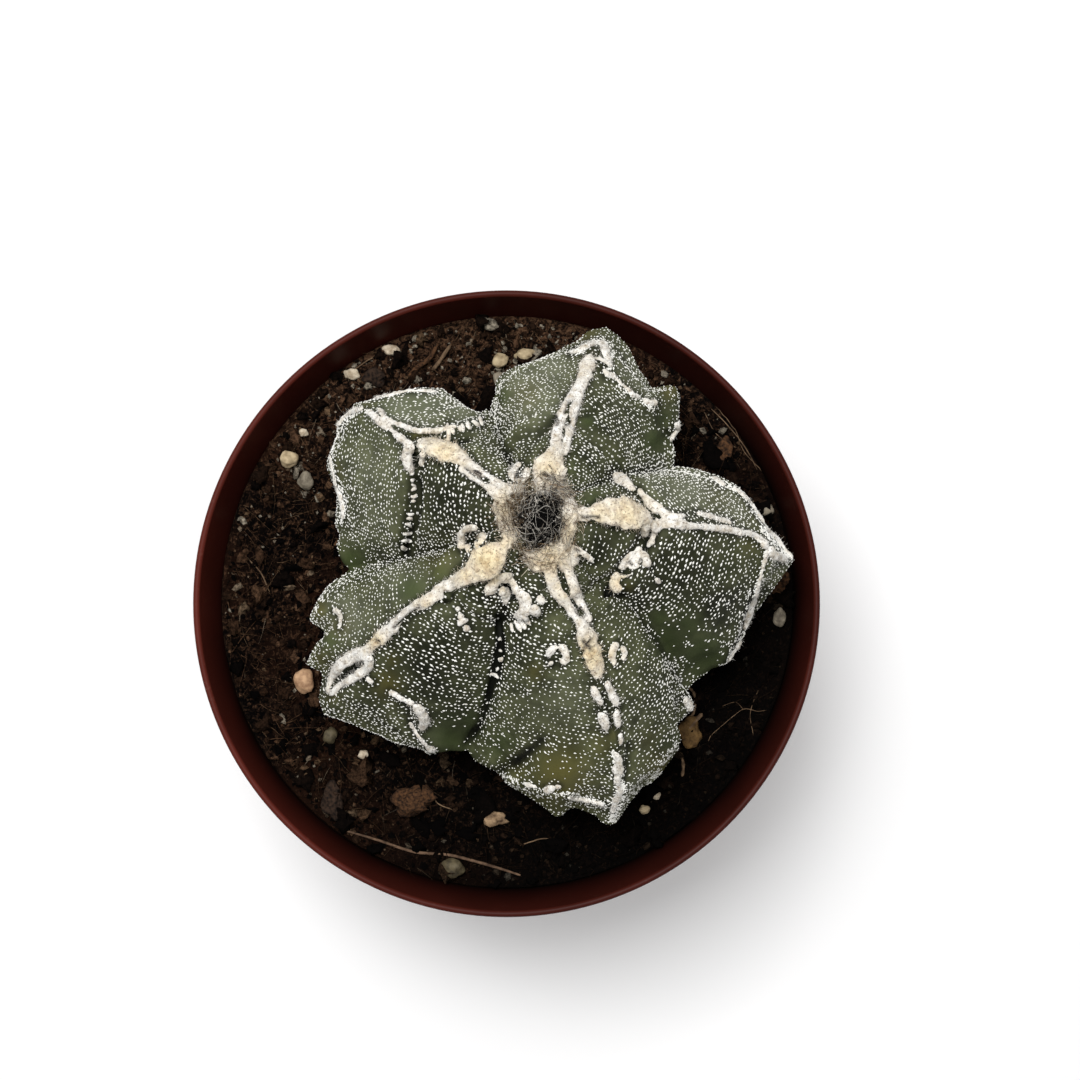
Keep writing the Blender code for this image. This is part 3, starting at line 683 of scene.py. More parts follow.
chalk = stone_finish("chalky_grit", screen(150, 132, 108), screen(222, 208, 184), 0.85)
tan = stone_finish("tan_pebble", screen(138, 104, 78), screen(200, 162, 126), 0.6)
grey = stone_finish("grey_pebble", screen(92, 84, 72), screen(150, 140, 122), 0.7)
dull = stone_finish("dull_pebble", screen(52, 46, 34), screen(98, 88, 66), 0.55)
cream = stone_finish("cream_pebble", screen(138, 120, 92), screen(204, 184, 148), 0.7)
bark = stone_finish("bark", screen(16, 10, 7), screen(88, 60, 38), 0.95, 1700.0)
char = stone_finish("dark_chip", screen(12, 8, 6), screen(58, 43, 33), 0.95, 1700.0)
leaf = stone_finish("dry_leaf", screen(62, 44, 24), screen(122, 94, 56), 0.8)
shell = stone_finish("broken_shell", screen(64, 46, 32), screen(168, 140, 108), 0.8)
STONE_FINISHES = (cream, grey, chalk, cream, cream, grey, chalk, chalk,
                  grey, dull, chalk, chalk, cream, tan, dull, grey)
CHIP_FINISHES = (char, bark, bark, leaf, shell, char, bark)
print(len(STONE_FINISHES), "stones and", len(CHIP_FINISHES), "chips")

# %% Grit, pebbles and chips
LUMP_SINK = 0.4  # mm into the soil


def lump(name, node, roughness, seed, finish):
    low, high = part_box(node)
    bm = bmesh.new()
    bmesh.ops.create_icosphere(bm, subdivisions=3, radius=0.5)
    for vert in bm.verts:
        coarse = roughness * noise.noise(vert.co * 2.3 + Vector((seed, 0, 0)))
        fine = 0.5 * roughness**2 * noise.noise(vert.co * 9.0 + Vector((seed, 5, 0)))
        vert.co *= 1.0 + coarse + fine
    start = [min(vert.co[i] for vert in bm.verts) for i in range(3)]
    reach = [max(vert.co[i] for vert in bm.verts) - start[i] for i in range(3)]
    for vert in bm.verts:
        vert.co = [low[i] + (vert.co[i] - start[i]) / reach[i] * (high[i] - low[i]) for i in range(3)]
    bmesh.ops.translate(bm, verts=bm.verts, vec=(0, 0, -LUMP_SINK * MM))
    add_piece(name, mesh_from(bm, name), finish, [node])


for i, finish in enumerate(STONE_FINISHES, 1):
    lump(f"pebble_{i:02d}", f"stone_{i:02d}", 0.35, i, finish)
for i, finish in enumerate(CHIP_FINISHES, 1):
    lump(f"chip_{i}", f"bark_chip_{i}", 0.7, 16 + i, finish)

# %% [markdown]
# ### Root, twig, threads and straws
#
# A dead root lies along the front of the pot and a twig along the back, and rootlets as thin as
# thread and bits of straw lie about. Each is a round tube wrapped about its route: a grid whose
# columns run round and whose rows run along, closed where its first and last column meet. The
# same helper wraps the plant and its wool further on. A thread is drawn in pixels of the
# photograph and laid on the soil where its lines of sight meet it.

# %% Wrap a grid round a route
def wrapped(rows, marks=()):
    """A tube through rows of points in mm, each row running once round, with both ends closed.

    marks holds (name, values) pairs: one number for each row and column, kept as an attribute.
    """
    count = len(rows[0])
    bm = bmesh.new()
    bmesh.ops.create_grid(bm, x_segments=count, y_segments=len(rows) - 1, size=1.0)
    layers = [(bm.verts.layers.float.new(name), values) for name, values in marks]
    for vert in bm.verts:
        column = round((vert.co.x + 1.0) / 2.0 * count) % count
        row = round((vert.co.y + 1.0) / 2.0 * (len(rows) - 1))
        vert.co = Vector(rows[row][column]) * MM
        for layer, values in layers:
            vert[layer] = values[row][column]
    bmesh.ops.remove_doubles(bm, verts=bm.verts, dist=1e-7)
    bmesh.ops.holes_fill(bm, edges=[edge for edge in bm.edges if edge.is_boundary], sides=0)
    bmesh.ops.poke(bm, faces=[face for face in bm.faces if len(face.verts) > 4])
    bmesh.ops.recalc_face_normals(bm, faces=bm.faces)
    return bm


def along(knots, values, at):
    """A smooth curve through values at knots, read at each number in at."""
    knots, values = np.asarray(knots, float), np.asarray(values, float)
    slopes = np.gradient(values, knots, axis=0)
    first = np.clip(np.searchsorted(knots, at, side="right") - 1, 0, len(knots) - 2)
    step = (knots[first + 1] - knots[first])[:, None]
    f = ((at - knots[first]) / step[:, 0])[:, None]
    return (
        (1 + 2 * f) * (1 - f) ** 2 * values[first]
        + f * (1 - f) ** 2 * step * slopes[first]
        + f**2 * (3 - 2 * f) * values[first + 1]
        + f**2 * (f - 1) * step * slopes[first + 1]
    )


def way_along(points):
    """The way in their own unit from the first of some points to each of them."""
    return np.concatenate(([0.0], np.cumsum(np.linalg.norm(np.diff(points, axis=0), axis=1))))


def round_tube(centres, radii, sides):
    """A tube about a nearly level route, from upright rounds of points."""
    rows = []
    turns = np.arange(sides)[:, None] * math.tau / sides
    for i, (centre, radius) in enumerate(zip(centres, radii)):
        ahead = centres[min(i + 1, len(centres) - 1)] - centres[max(i - 1, 0)]
        across = np.array((-ahead[1], ahead[0], 0.0)) / np.linalg.norm(ahead[:2])
        rows.append(centre + radius * (np.cos(turns) * across + np.sin(turns) * (0, 0, 1)))
    return wrapped(rows)


# %% The dead root and the twig
ROOT_ROUTE = ((-31.8, -44.6), (-25.1, -46.6), (-18.2, -48.8), (-11.5, -49.4), (-5.4, -50.9), (-1.0, -52.2),
              (2.6, -53.4))
TWIG_ROUTE = ((-13.6, 50.6), (-15.2, 47.8), (-17.6, 46.0), (-19.4, 44.2))
ROUND_SIDES = 10
ROD_SINK = 0.15


def rod(name, route, radius, node, finish):
    """A thin root or twig, thinner at its ends, with a wavering thickness."""
    steps = np.linspace(0, len(route) - 1, 12 * (len(route) - 1) + 1)
    plan = along(np.arange(len(route)), route, steps)
    low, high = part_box(node)
    middle = 500 * (low.z + high.z) - ROD_SINK
    heights = [middle + 0.25 * noise.noise((0.8 * step, 0, SEED)) for step in steps]
    wavers = np.array([1.0 + 0.25 * noise.noise((3 * step, SEED, 0)) for step in steps])
    taper = 0.25 + 0.75 * np.sin(math.pi * (0.08 + 0.84 * steps / steps[-1])) ** 0.5
    tube = round_tube(np.column_stack((plan, heights)), radius * wavers * taper, ROUND_SIDES)
    add_piece(name, mesh_from(tube, name), finish, [node])


print("the root runs through", len(ROOT_ROUTE), "points")

# %% Where threads and straws lie
# (radius in mm, pixels)
THREADS = {
    "white root": (0.3, ((686, 685), (693, 692), (695, 701), (693, 713), (686, 720), (680, 725))),
    "long thread": (0.055, ((766, 710), (757, 711), (743, 709), (726, 722), (712, 734), (708, 741))),
    "side thread": (0.045, ((743, 709), (735, 702), (722, 706))),
    "leaf straw": (0.45, ((702, 713), (694, 722), (688, 731), (682, 741))),
    "brown stick": (0.35, ((680, 752), (683, 764), (682, 776))),
    "fibre by the clod": (0.09, ((711, 409), (726, 424), (744, 446), (757, 470))),
    "second fibre": (0.07, ((718, 405), (735, 430), (744, 452), (762, 471))),
    "third fibre": (0.07, ((704, 412), (716, 434), (736, 448))),
    "right fibre": (0.06, ((758, 690), (750, 712), (753, 735))),
    "low fibre": (0.12, ((430, 790), (438, 803), (452, 809))),
    "upper straw": (0.4, ((432, 372), (441, 360), (451, 345))),
    "left straw": (0.16, ((352, 372), (366, 362), (377, 356))),
    "west fibre": (0.12, ((250, 560), (262, 574), (270, 592))),
    "south fibre": (0.14, ((520, 845), (545, 838), (560, 846))),
}
print(len(THREADS), "threads and straws")

# %% Lay the threads, the root and the twig
THREAD_SIDES = 6
THREAD_RISE = 0.5  # mm over the mean height of the soil's surface, so that it lies on the crumbs
SMOOTHED_OVER = 7  # points along a thread
THIN_END = 0.35  # of the radius


def first_met(tree, pixel, middle):
    """Where a line of sight meets a tree's mesh. A pixel that misses moves towards a middle first."""
    while True:
        hit = tree.ray_cast(Vector(EYE) * MM, line_of_sight(pixel))[0]
        if hit is not None:
            return hit
        pixel = pixel + (middle - pixel) / np.linalg.norm(middle - pixel)


def gather(bodies, body):
    """Adds a bmesh to another one, and frees it."""
    made = mesh_from(body, "gathered")
    bodies.from_mesh(made)
    bpy.data.meshes.remove(made)


def thread_body():
    """All threads, each laid on the peat along its pixels."""
    soil_middle = pixel_of((0, 0, SOIL_TOP))
    threads = bmesh.new()
    for radius, mark in THREADS.values():
        steps = np.linspace(0, len(mark) - 1, 6 * (len(mark) - 1) + 1)
        pixels = along(np.arange(len(mark)), mark, steps)
        points = np.array([first_met(soil_tree, pixel, soil_middle) for pixel in pixels]) / MM
        padded = np.pad(points[:, 2], SMOOTHED_OVER // 2, mode="edge")
        smoothed = np.convolve(padded, np.ones(SMOOTHED_OVER) / SMOOTHED_OVER, "valid")
        points[:, 2] = smoothed + THREAD_RISE + radius
        radii = np.full(len(points), radius * THIN_END)
        radii[1:-1] = radius * draw.uniform(0.8, 1.15, len(points) - 2)
        gather(threads, round_tube(points, radii, THREAD_SIDES))
    return mesh_from(threads, "soil_threads")


straw = stone_finish("straw", screen(62, 46, 32), screen(128, 104, 80), 0.85)
add_piece("soil_threads", thread_body(), straw)
root_bark = stone_finish("dead_root", screen(62, 46, 35), screen(112, 88, 69), 0.85)
rod("dead_root", ROOT_ROUTE, 0.3, "root_fibre", root_bark)
rod("old_twig", TWIG_ROUTE, 0.5, "twig", bark)

# %% [markdown]
# ## The plant's form
#
# Five ribs meet at the growing tip. Each rib has a sharp crest, and between two ribs runs a
# furrow. The solid model draws crests and furrows as curves through eight points from the tip,
# at level 0, to the widest girth, at level 1, and fills each flank between them. The same
# curves are used here on a grid of some forty times as many points, with the waved and hooked
# edge followed more closely, so the dressed plant keeps the form of its solid.

# %% Crests and furrows
APEX = (6.5, 16.0, 51.0)  # (x, y, rise above the soil) in mm
LEVELS = np.array((0.0, 0.12, 0.28, 0.42, 0.56, 0.72, 0.87, 1.0))
CRESTS = {
    "east": (APEX, (12.5, 16.5, 53.0), (20.5, 17.0, 50.5), (27.0, 15.0, 46.5), (33.5, 15.0, 43.5),
             (41.0, 14.0, 37.5), (48.5, 10.5, 29.5), (54.0, 8.5, 18.0)),
    "north": (APEX, (7.3, 20.0, 52.5), (8.0, 24.5, 51.0), (9.3, 30.5, 47.0), (11.5, 35.0, 43.0),
              (13.8, 40.0, 37.5), (16.3, 46.5, 28.0), (19.0, 52.5, 15.0)),
    "northwest": (APEX, (0.5, 19.5, 52.5), (-5.5, 23.5, 50.5), (-11.5, 27.0, 47.5), (-16.5, 29.0, 43.5),
                  (-21.5, 32.5, 38.0), (-26.0, 36.5, 28.5), (-28.5, 38.0, 17.0)),
    "southwest": (APEX, (1.0, 11.5, 53.0), (-4.5, 7.0, 51.0), (-10.5, 2.0, 47.5), (-16.0, -0.5, 44.0),
                  (-22.5, -6.5, 38.5), (-29.0, -12.5, 31.0), (-35.0, -17.5, 19.0)),
    "south": (APEX, (9.0, 8.5, 53.0), (12.0, 1.0, 51.5), (14.5, -6.0, 50.0), (16.8, -13.5, 47.0),
              (19.5, -22.5, 42.0), (21.0, -32.0, 33.5), (19.5, -41.0, 19.0)),
}
# Each furrow lies counter-clockwise of the rib with the same name.
FURROWS = {
    "east": (APEX, (11.0, 19.5, 49.0), (15.0, 21.5, 44.5), (19.0, 23.0, 39.5), (22.5, 24.0, 34.5),
             (26.0, 24.5, 28.5), (28.5, 25.0, 22.5), (30.5, 25.0, 16.0)),
    "north": (APEX, (3.8, 20.5, 48.5), (2.0, 24.0, 44.5), (0.7, 27.0, 40.5), (-0.3, 29.5, 36.0),
              (-1.2, 32.0, 30.5), (-2.0, 34.0, 24.5), (-2.5, 35.0, 17.0)),
    "northwest": (APEX, (0.5, 14.5, 48.5), (-5.0, 12.3, 44.0), (-10.0, 10.8, 39.0), (-14.5, 9.8, 34.0),
                  (-20.0, 8.5, 28.0), (-25.0, 7.5, 21.5), (-29.0, 6.5, 15.0)),
    "southwest": (APEX, (3.0, 9.5, 49.0), (1.0, 4.5, 46.5), (0.0, -1.0, 43.5), (-0.7, -7.0, 39.5),
                  (-2.0, -14.0, 34.0), (-4.3, -21.0, 26.5), (-7.0, -27.0, 16.0)),
    "south": (APEX, (12.0, 10.0, 49.0), (16.0, 5.0, 46.0), (20.5, 2.0, 42.0), (25.0, -1.0, 37.5),
              (28.5, -6.0, 31.5), (31.5, -11.5, 24.5), (33.5, -16.0, 16.0)),
}
print(len(CRESTS), "crests and", len(FURROWS), "furrows")

# %% The waved edge
# How far each flank stands out of the straight line from crest to furrow at the girth: (share of
# the way, mm). First the flank clockwise of the crest, then the one counter-clockwise of it.
WAVES = {
    "east": (((0, 0), (0.16, 0.4), (0.32, 0.9), (0.47, 1.3), (0.52, 2.2), (0.62, 2.7), (0.72, 3.0),
        (0.8, 1.1), (0.94, -0.1), (1, 0)), ((0, 0), (0.06, 0.4), (0.19, 1.8), (0.32, 2.7), (0.38, 3.7),
        (0.53, 4.9), (0.69, 4.1), (0.82, 3.0), (0.94, 1.3), (1, 0))),
    "north": (((0, 0), (0.07, 1.4), (0.16, 2.1), (0.34, 2.5), (0.41, 3.2), (0.47, 2.9), (0.49, 5.6),
        (0.52, 7.3), (0.58, 7.5), (0.65, 6.4), (0.72, 5.4), (0.765, 5.8), (0.785, 3.4), (0.83, 2.5),
        (0.91, 1.8), (1, 0)), ((0, 0), (0.06, 1.0), (0.12, 1.6), (0.21, 1.3), (0.35, 2.0), (0.53, 3.5),
        (0.66, 4.8), (0.74, 5.2), (0.82, 4.6), (0.87, 2.7), (0.96, 1.1), (1, 0))),
    "northwest": (((0, 0), (0.12, 1.1), (0.21, 1.9), (0.39, 3.4), (0.6, 4.0), (0.66, 3.0), (0.8, 0.9),
        (0.9, -0.3), (0.94, 1.0), (1, 0)), ((0, 0), (0.05, 0.9), (0.15, 3.1), (0.2, 3.1), (0.34, 4.9),
        (0.39, 4.9), (0.52, 3.3), (0.73, 3.2), (0.79, 2.2), (0.86, 2.7), (0.94, 1.7), (1, 0))),
    "southwest": (((0, 0), (0.15, 0.2), (0.2, 0.8), (0.225, 3.9), (0.3, 3.7), (0.39, 3.1), (0.44, 2.1),
        (0.515, 1.9), (0.535, 4.3), (0.56, 5.6), (0.68, 5.1), (0.81, 4.0), (0.91, 1.7), (1, 0)),
        ((0, 0), (0.06, 2.8), (0.24, 2.4), (0.44, 2.7), (0.55, 3.3), (0.65, 3.1), (0.79, 2.7),
        (0.89, 1.2), (1, 0))),
    "south": (((0, 0), (0.04, 0.5), (0.1, -0.3), (0.24, 0.0), (0.285, 1.2), (0.305, 3.6), (0.37, 3.4),
        (0.47, 3.0), (0.67, 2.4), (0.82, 1.2), (0.93, 0.9), (1, 0)), ((0, 0), (0.02, 0.9), (0.2, 1.2),
        (0.31, 1.7), (0.37, 2.9), (0.55, 3.8), (0.67, 4.1), (0.7, 2.2), (0.77, 1.7), (0.87, 2.3),
        (0.92, 2.8), (0.99, 0.2), (1, 0))),
}
print(sum(len(wave) for waves in WAVES.values() for wave in waves), "points along the edge")

# %% Folds, swell and underside
# Levels of the folds between tiers: at the clockwise furrow, the crest, the next furrow
FOLDS = {"east": (0.31, 0.42, 0.45), "north": (0.48, 0.52, 0.45), "northwest": (0.8, 0.5, 0.6),
         "southwest": (0.28, 0.42, 0.48), "south": (0.45, 0.28, 0.3)}
FOLD_DEPTH = 1.5  # mm
FOLD_WIDTH = 0.03  # levels
FOLD_LIP = 0.5  # mm
LIP_PLACE = 2.2  # fold widths below the fold
BRIM = (0.87, 0.99)  # the levels of a flank's brim, at the crest and in the furrow
BRIM_HEIGHT = 0.8  # mm
BRIM_WIDTH = 0.03  # levels
ABOVE_GIRTH = 0.15  # levels above the girth in which the wave fades out
BELOW_GIRTH = 0.45  # and below it
FLANK_SWELL = 0.13  # of the way from crest to furrow
SWELL_SKEW = 1.35  # above 1, the swell is nearer the furrow
# (level, share of the girth's distance from the neck, share of its height)
UNDERSIDE = ((1.0, 1.0, 1.0), (1.2, 0.985, 0.72), (1.45, 0.92, 0.42), (1.7, 0.82, 0.16), (1.85, 0.73, 0.045))
FLANK_COLUMNS = 40
SKIN_LEVELS = np.concatenate((np.linspace(0.03, 1.06, 148), np.linspace(1.07, 1.85, 44)))
print(len(SKIN_LEVELS), "levels of", 2 * len(CRESTS) * FLANK_COLUMNS, "points")

# %% Shape the flanks
def meridian(points, levels):
    """A crest or furrow at each level, carried on below the girth towards the neck."""
    line = along(LEVELS, points, np.minimum(levels, 1.0))
    shares = along([row[0] for row in UNDERSIDE], [row[1:] for row in UNDERSIDE], np.maximum(levels, 1.0))
    line[:, :2] = ROOT + (line[:, :2] - ROOT) * shares[:, :1]
    line[:, 2] *= shares[:, 1]
    return line


def flank(crest, furrow, waves, fold, levels, shares, side):
    """Points of one flank, level by level; side is 1 where its furrow lies counter-clockwise."""
    top, low = meridian(crest, levels), meridian(furrow, levels)
    chord = low - top
    points = top[:, None] + shares[None, :, None] * chord[:, None]
    out = unit(np.cross(np.gradient(points, levels, axis=0), side * chord[:, None]))
    flat = unit(side * np.stack((chord[:, 1], -chord[:, 0], 0 * chord[:, 0]), axis=1))
    fade = np.where(levels < 1.0, ABOVE_GIRTH, BELOW_GIRTH)
    at_girth = np.exp(-(((levels - 1.0) / fade) ** 2))[:, None, None]
    length = np.linalg.norm(chord, axis=1)[:, None, None]
    swell = FLANK_SWELL * length * np.sin(math.pi * shares**SWELL_SKEW)[None, :, None]
    wave = np.interp(shares, *zip(*waves))[None, :, None]
    bulge_way = np.where(levels[:, None, None] < 1.0, out, flat[:, None])
    points = points + (1 - at_girth) * swell * bulge_way + at_girth * wave * flat[:, None]
    past_fold = (levels[:, None] - np.interp(shares, (0.0, 1.0), fold)) / FOLD_WIDTH
    past_brim = (levels[:, None] - np.interp(shares, (0.0, 1.0), BRIM)) / BRIM_WIDTH
    relief = BRIM_HEIGHT * np.exp(-(past_brim**2)) + FOLD_LIP * np.exp(-((past_fold - LIP_PLACE) ** 2))
    relief -= FOLD_DEPTH * np.exp(-(past_fold**2))
    return points + relief[:, :, None] * out


def skin_points(levels, columns):
    """The skin as points [level, column] in mm, with columns running counter-clockwise."""
    shares = np.arange(columns) / columns
    names = list(CRESTS)
    panels = []
    for i, name in enumerate(names):
        following = names[(i + 1) % len(names)]
        folds, next_folds = FOLDS[name], FOLDS[following]
        panels.append(flank(CRESTS[name], FURROWS[name], WAVES[name][1], (folds[1], folds[2]),
                            levels, shares, 1))
        panels.append(flank(CRESTS[following], FURROWS[name], WAVES[following][0],
                            (next_folds[1], next_folds[0]), levels, 1.0 - shares, -1))
    return np.concatenate(panels, axis=1) + (0, 0, SOIL_TOP)


skin = skin_points(SKIN_LEVELS, FLANK_COLUMNS)
print("skin grid", skin.shape, "from", skin.min(axis=(0, 1)).round(1), "to", skin.max(axis=(0, 1)).round(1))

# %% [markdown]
# ## Creases and ridges
#
# The real skin is creased where one tier of tubercles presses on the next, and it rises under
# the white lines. These marks are named by where the photograph shows them. Each raises or
# sinks the skin along its own normal, by a smooth hump across the mark. Slow noise then takes
# the ruled look off the flanks.

# %% Where the skin is creased
# (mm up or down, pixels across, the mark's points in the photograph)
CREASES = {
    "east inner fold": (-0.9, 5, ((652, 533), (647, 546), (638, 557), (626, 567), (616, 580),
        (607, 592))),
    "east upper gap": (-0.9, 4, ((652, 517), (661, 519), (671, 518))),
    "east upper crack": (-0.7, 3.5, ((634, 487), (640, 495), (645, 503))),
    "east outer wall": (-0.6, 9, ((757, 590), (748, 625), (735, 650))),
    "east low dip": (-0.7, 10, ((738, 606), (722, 632))),
    "north left fold": (-0.8, 4, ((556, 418), (545, 428), (532, 440))),
    "north right fold": (-0.7, 4, ((572, 418), (583, 416), (598, 410))),
    "north shoulder": (0.7, 6, ((603, 366), (622, 383), (640, 396), (654, 402))),
    "north hook dip": (-0.8, 8, ((660, 412), (668, 432))),
    "northwest edge": (0.8, 5, ((372, 417), (393, 422), (420, 431), (446, 432), (466, 425),
        (478, 420))),
    "northwest edge foot": (-1.0, 4, ((384, 425), (400, 431), (420, 440), (445, 442), (470, 436))),
    "northwest pit": (-1.2, 4, ((414, 456), (415, 466))),
    "northwest gap": (-1.1, 3.5, ((417, 480), (418, 505), (415, 525), (410, 540), (406, 553))),
    "southwest-south furrow": (-0.9, 4, ((499, 618), (501, 644), (495, 674), (488, 700), (480, 726),
        (467, 745))),
    "south-east furrow": (-0.6, 3, ((609, 592), (630, 599), (643, 618), (661, 644), (682, 685))),
    "northwest step": (0.7, 6, ((402, 470), (406, 490), (401, 515), (398, 540))),
    "southwest loop": (-2.0, 6, ((357, 663), (346, 672), (338, 682))),
    "southwest loop end": (-0.9, 3.5, ((366, 672), (361, 681))),
    "southwest low ridge": (0.8, 5, ((391, 691), (403, 697), (414, 703), (420, 716), (420, 731),
        (430, 748))),
    "southwest low foot": (-0.8, 5, ((405, 703), (408, 718), (414, 732))),
    "south curl": (-1.1, 3, ((500, 584), (506, 586), (510, 590), (512, 599))),
    "south stitched ridge": (0.8, 5, ((545, 601), (527, 613), (506, 628))),
    "south left fold": (0.6, 4, ((548, 660), (534, 672), (528, 690))),
    "south left foot": (-0.6, 4, ((555, 665), (542, 677), (536, 694))),
    "south crack": (-0.9, 3.5, ((605, 694), (609, 710), (613, 728))),
    "south valley": (-1.3, 7, ((502, 772), (520, 761), (540, 744))),
    "south swell": (1.2, 16, ((545, 772), (575, 770), (595, 760))),
    "south right crease": (-0.9, 4, ((631, 745), (629, 765), (627, 786))),
    "south right swell": (0.9, 12, ((650, 762), (663, 745))),
    "south outer edge": (0.8, 5, ((507, 776), (530, 785), (550, 791), (580, 796), (607, 800))),
}
print(len(CREASES), "creases and ridges")

# %% Raise and sink the skin along the marks
SKIN_NOISE = ((0.35, 7.0), (0.12, 2.2))  # (mm high, mm across)


def outward(grid):
    """Unit vectors out of a grid of skin points."""
    around = np.roll(grid, -1, axis=1) - np.roll(grid, 1, axis=1)
    return unit(np.cross(np.gradient(grid, axis=0), around))


def distance_to(pixels, mark):
    """How far each pixel is from a broken line of pixels."""
    best = np.full(pixels.shape[:-1], np.inf)
    for start, end in zip(np.array(mark[:-1], float), np.array(mark[1:], float)):
        step = end - start
        share = np.clip(((pixels - start) @ step) / (step @ step), 0, 1)
        best = np.minimum(best, np.linalg.norm(pixels - start - share[..., None] * step, axis=-1))
    return best


def noise_at(points, across):
    """Smooth noise at each of some points in mm, with humps of about that many mm across."""
    return np.array([noise.noise(Vector(point) / across) for point in points])


seen_from_above = np.clip((1.04 - SKIN_LEVELS) / 0.04, 0, 1)[:, None]
skin_pixels = pixel_of(skin)
relief = np.zeros(skin.shape[:2])
for lift, width, mark in CREASES.values():
    relief += lift * np.exp(-((distance_to(skin_pixels, mark) / width) ** 2)) * seen_from_above
slow_noise = sum(high * noise_at(skin.reshape(-1, 3), across) for high, across in SKIN_NOISE)
relief += slow_noise.reshape(relief.shape)
skin = skin + relief[..., None] * outward(skin)
skin_out = outward(skin)
print("relief from", relief.min().round(2), "to", relief.max().round(2), "mm")

# %% [markdown]
# ### Patches of colour, painted shade and painted light
#
# The skin isn't one green. Old skin is olive, and bare skin has no flecks and shows clear green.
# Shade is painted on the flanks turned from the light, in creases and in furrows, and light is
# painted on the lit shoulders as a pale grey green. Each patch is a soft round spot at a place in
# the photograph, worked out as a number for each point of the grid.

# %% Where olive and bare skin lie, and where shade and light are painted
# (pixel across, pixel down, reach in pixels, strength)
OLIVE = (
    (560, 775, 30, 1.0), (520, 770, 16, 0.5), (600, 745, 14, 0.4), (662, 765, 16, 0.7),
    (650, 740, 12, 0.3), (388, 684, 14, 0.9), (393, 660, 7, 0.8), (330, 473, 11, 0.7),
    (418, 437, 7, 1.0), (340, 625, 12, 0.5), (318, 610, 9, 0.8), (535, 672, 9, 0.7),
    (440, 560, 18, 0.35), (332, 694, 7, 0.9), (612, 735, 7, 0.6), (360, 402, 12, 0.4),
    (588, 335, 14, 0.6), (672, 390, 9, 0.8), (628, 588, 6, 0.8), (322, 660, 10, 0.6),
    (765, 500, 22, 0.45), (720, 500, 16, 0.25), (528, 395, 14, 0.5), (750, 545, 10, 0.4),
)
BARE = (
    (670, 642, 18, 1.0), (659, 617, 11, 0.8), (352, 560, 13, 1.0), (450, 738, 24, 0.9),
    (470, 725, 16, 0.8), (705, 655, 24, 1.0), (690, 625, 16, 0.7), (655, 440, 13, 1.0),
    (660, 420, 10, 0.6), (503, 395, 8, 0.7), (412, 590, 14, 0.8), (440, 572, 9, 0.6),
    (330, 640, 9, 0.7), (500, 745, 16, 0.7), (485, 700, 10, 0.5), (668, 745, 10, 0.6),
    (420, 400, 26, 0.35), (545, 775, 22, 0.4), (588, 420, 7, 0.8), (390, 410, 14, 0.3),
    (595, 500, 10, 0.5), (566, 472, 8, 0.6),
)
# Painted shade: flanks turned from the light, and the hollows of loops, slots and curls.
SHADE_SPOTS = (
    (450, 500, 42, 0.8), (478, 535, 28, 0.8), (425, 540, 18, 0.5), (680, 570, 52, 0.8),
    (640, 600, 28, 0.7), (715, 605, 36, 0.75), (600, 548, 22, 0.85), (430, 665, 52, 0.85),
    (478, 640, 36, 0.65), (455, 705, 28, 0.7), (612, 425, 36, 0.45), (590, 452, 20, 0.6),
    (530, 645, 36, 0.55), (535, 700, 38, 0.35), (655, 690, 38, 0.35), (490, 590, 24, 0.8),
    (566, 740, 24, 0.4), (375, 700, 28, 0.35), (660, 745, 18, 0.5), (735, 560, 22, 0.4),
    (520, 440, 20, 0.4), (610, 470, 16, 0.4), (500, 610, 20, 0.7), (535, 590, 18, 0.6),
    (356, 664, 6, 1.0), (348, 671, 7, 1.0), (339, 680, 6, 1.0), (362, 675, 5, 0.9), (506, 586, 4, 1.0),
    (511, 592, 4, 1.0), (512, 600, 3, 0.9), (546, 575, 4, 0.9), (519, 570, 6, 0.9), (518, 474, 4, 1.0),
    (676, 640, 26, 0.55), (662, 606, 16, 0.6), (705, 655, 22, 0.4),
)
# Painted light: the lit shoulders.
LIT_SPOTS = (
    (400, 408, 20, 0.6), (430, 406, 22, 0.75), (460, 412, 18, 0.6), (530, 392, 26, 0.6),
    (552, 366, 18, 0.5), (690, 492, 28, 0.65), (730, 505, 22, 0.5), (655, 478, 16, 0.5),
    (345, 618, 22, 0.55), (400, 580, 26, 0.3), (372, 470, 26, 0.25), (370, 520, 26, 0.25),
    (440, 745, 20, 0.3), (640, 370, 20, 0.4), (560, 700, 30, 0.2),
)
print(len(OLIVE + BARE + SHADE_SPOTS + LIT_SPOTS), "spots")

# %% Work out the patches on the skin's grid
# Painted shade in the furrows, set for each furrow and fading out above the girth, and in creases, darkest
# where the skin sinks most.
FURROW_SHADE = (0.8, 0.8, 0.8, 0.9, 0.45)  # in the order of the furrows
FURROW_EDGE = 0.86  # the share of the way to the furrow at which the dark begins
FURROW_FADE = 0.3  # levels above the girth in which the dark fades out
DARKEST_SINK = 1.2  # mm
LOW_GREEN = (1.3, 0.3)  # the level from which the underside is bare, and the levels it takes


def patches(pixels, spots):
    """The strongest of some soft round spots at each pixel."""
    value = np.zeros(pixels.shape[:-1])
    for across, down, reach, strength in spots:
        away = np.linalg.norm(pixels - (across, down), axis=-1) / reach
        value = np.maximum(value, strength * np.exp(-(away**2)))
    return value


skin_pixels = pixel_of(skin)
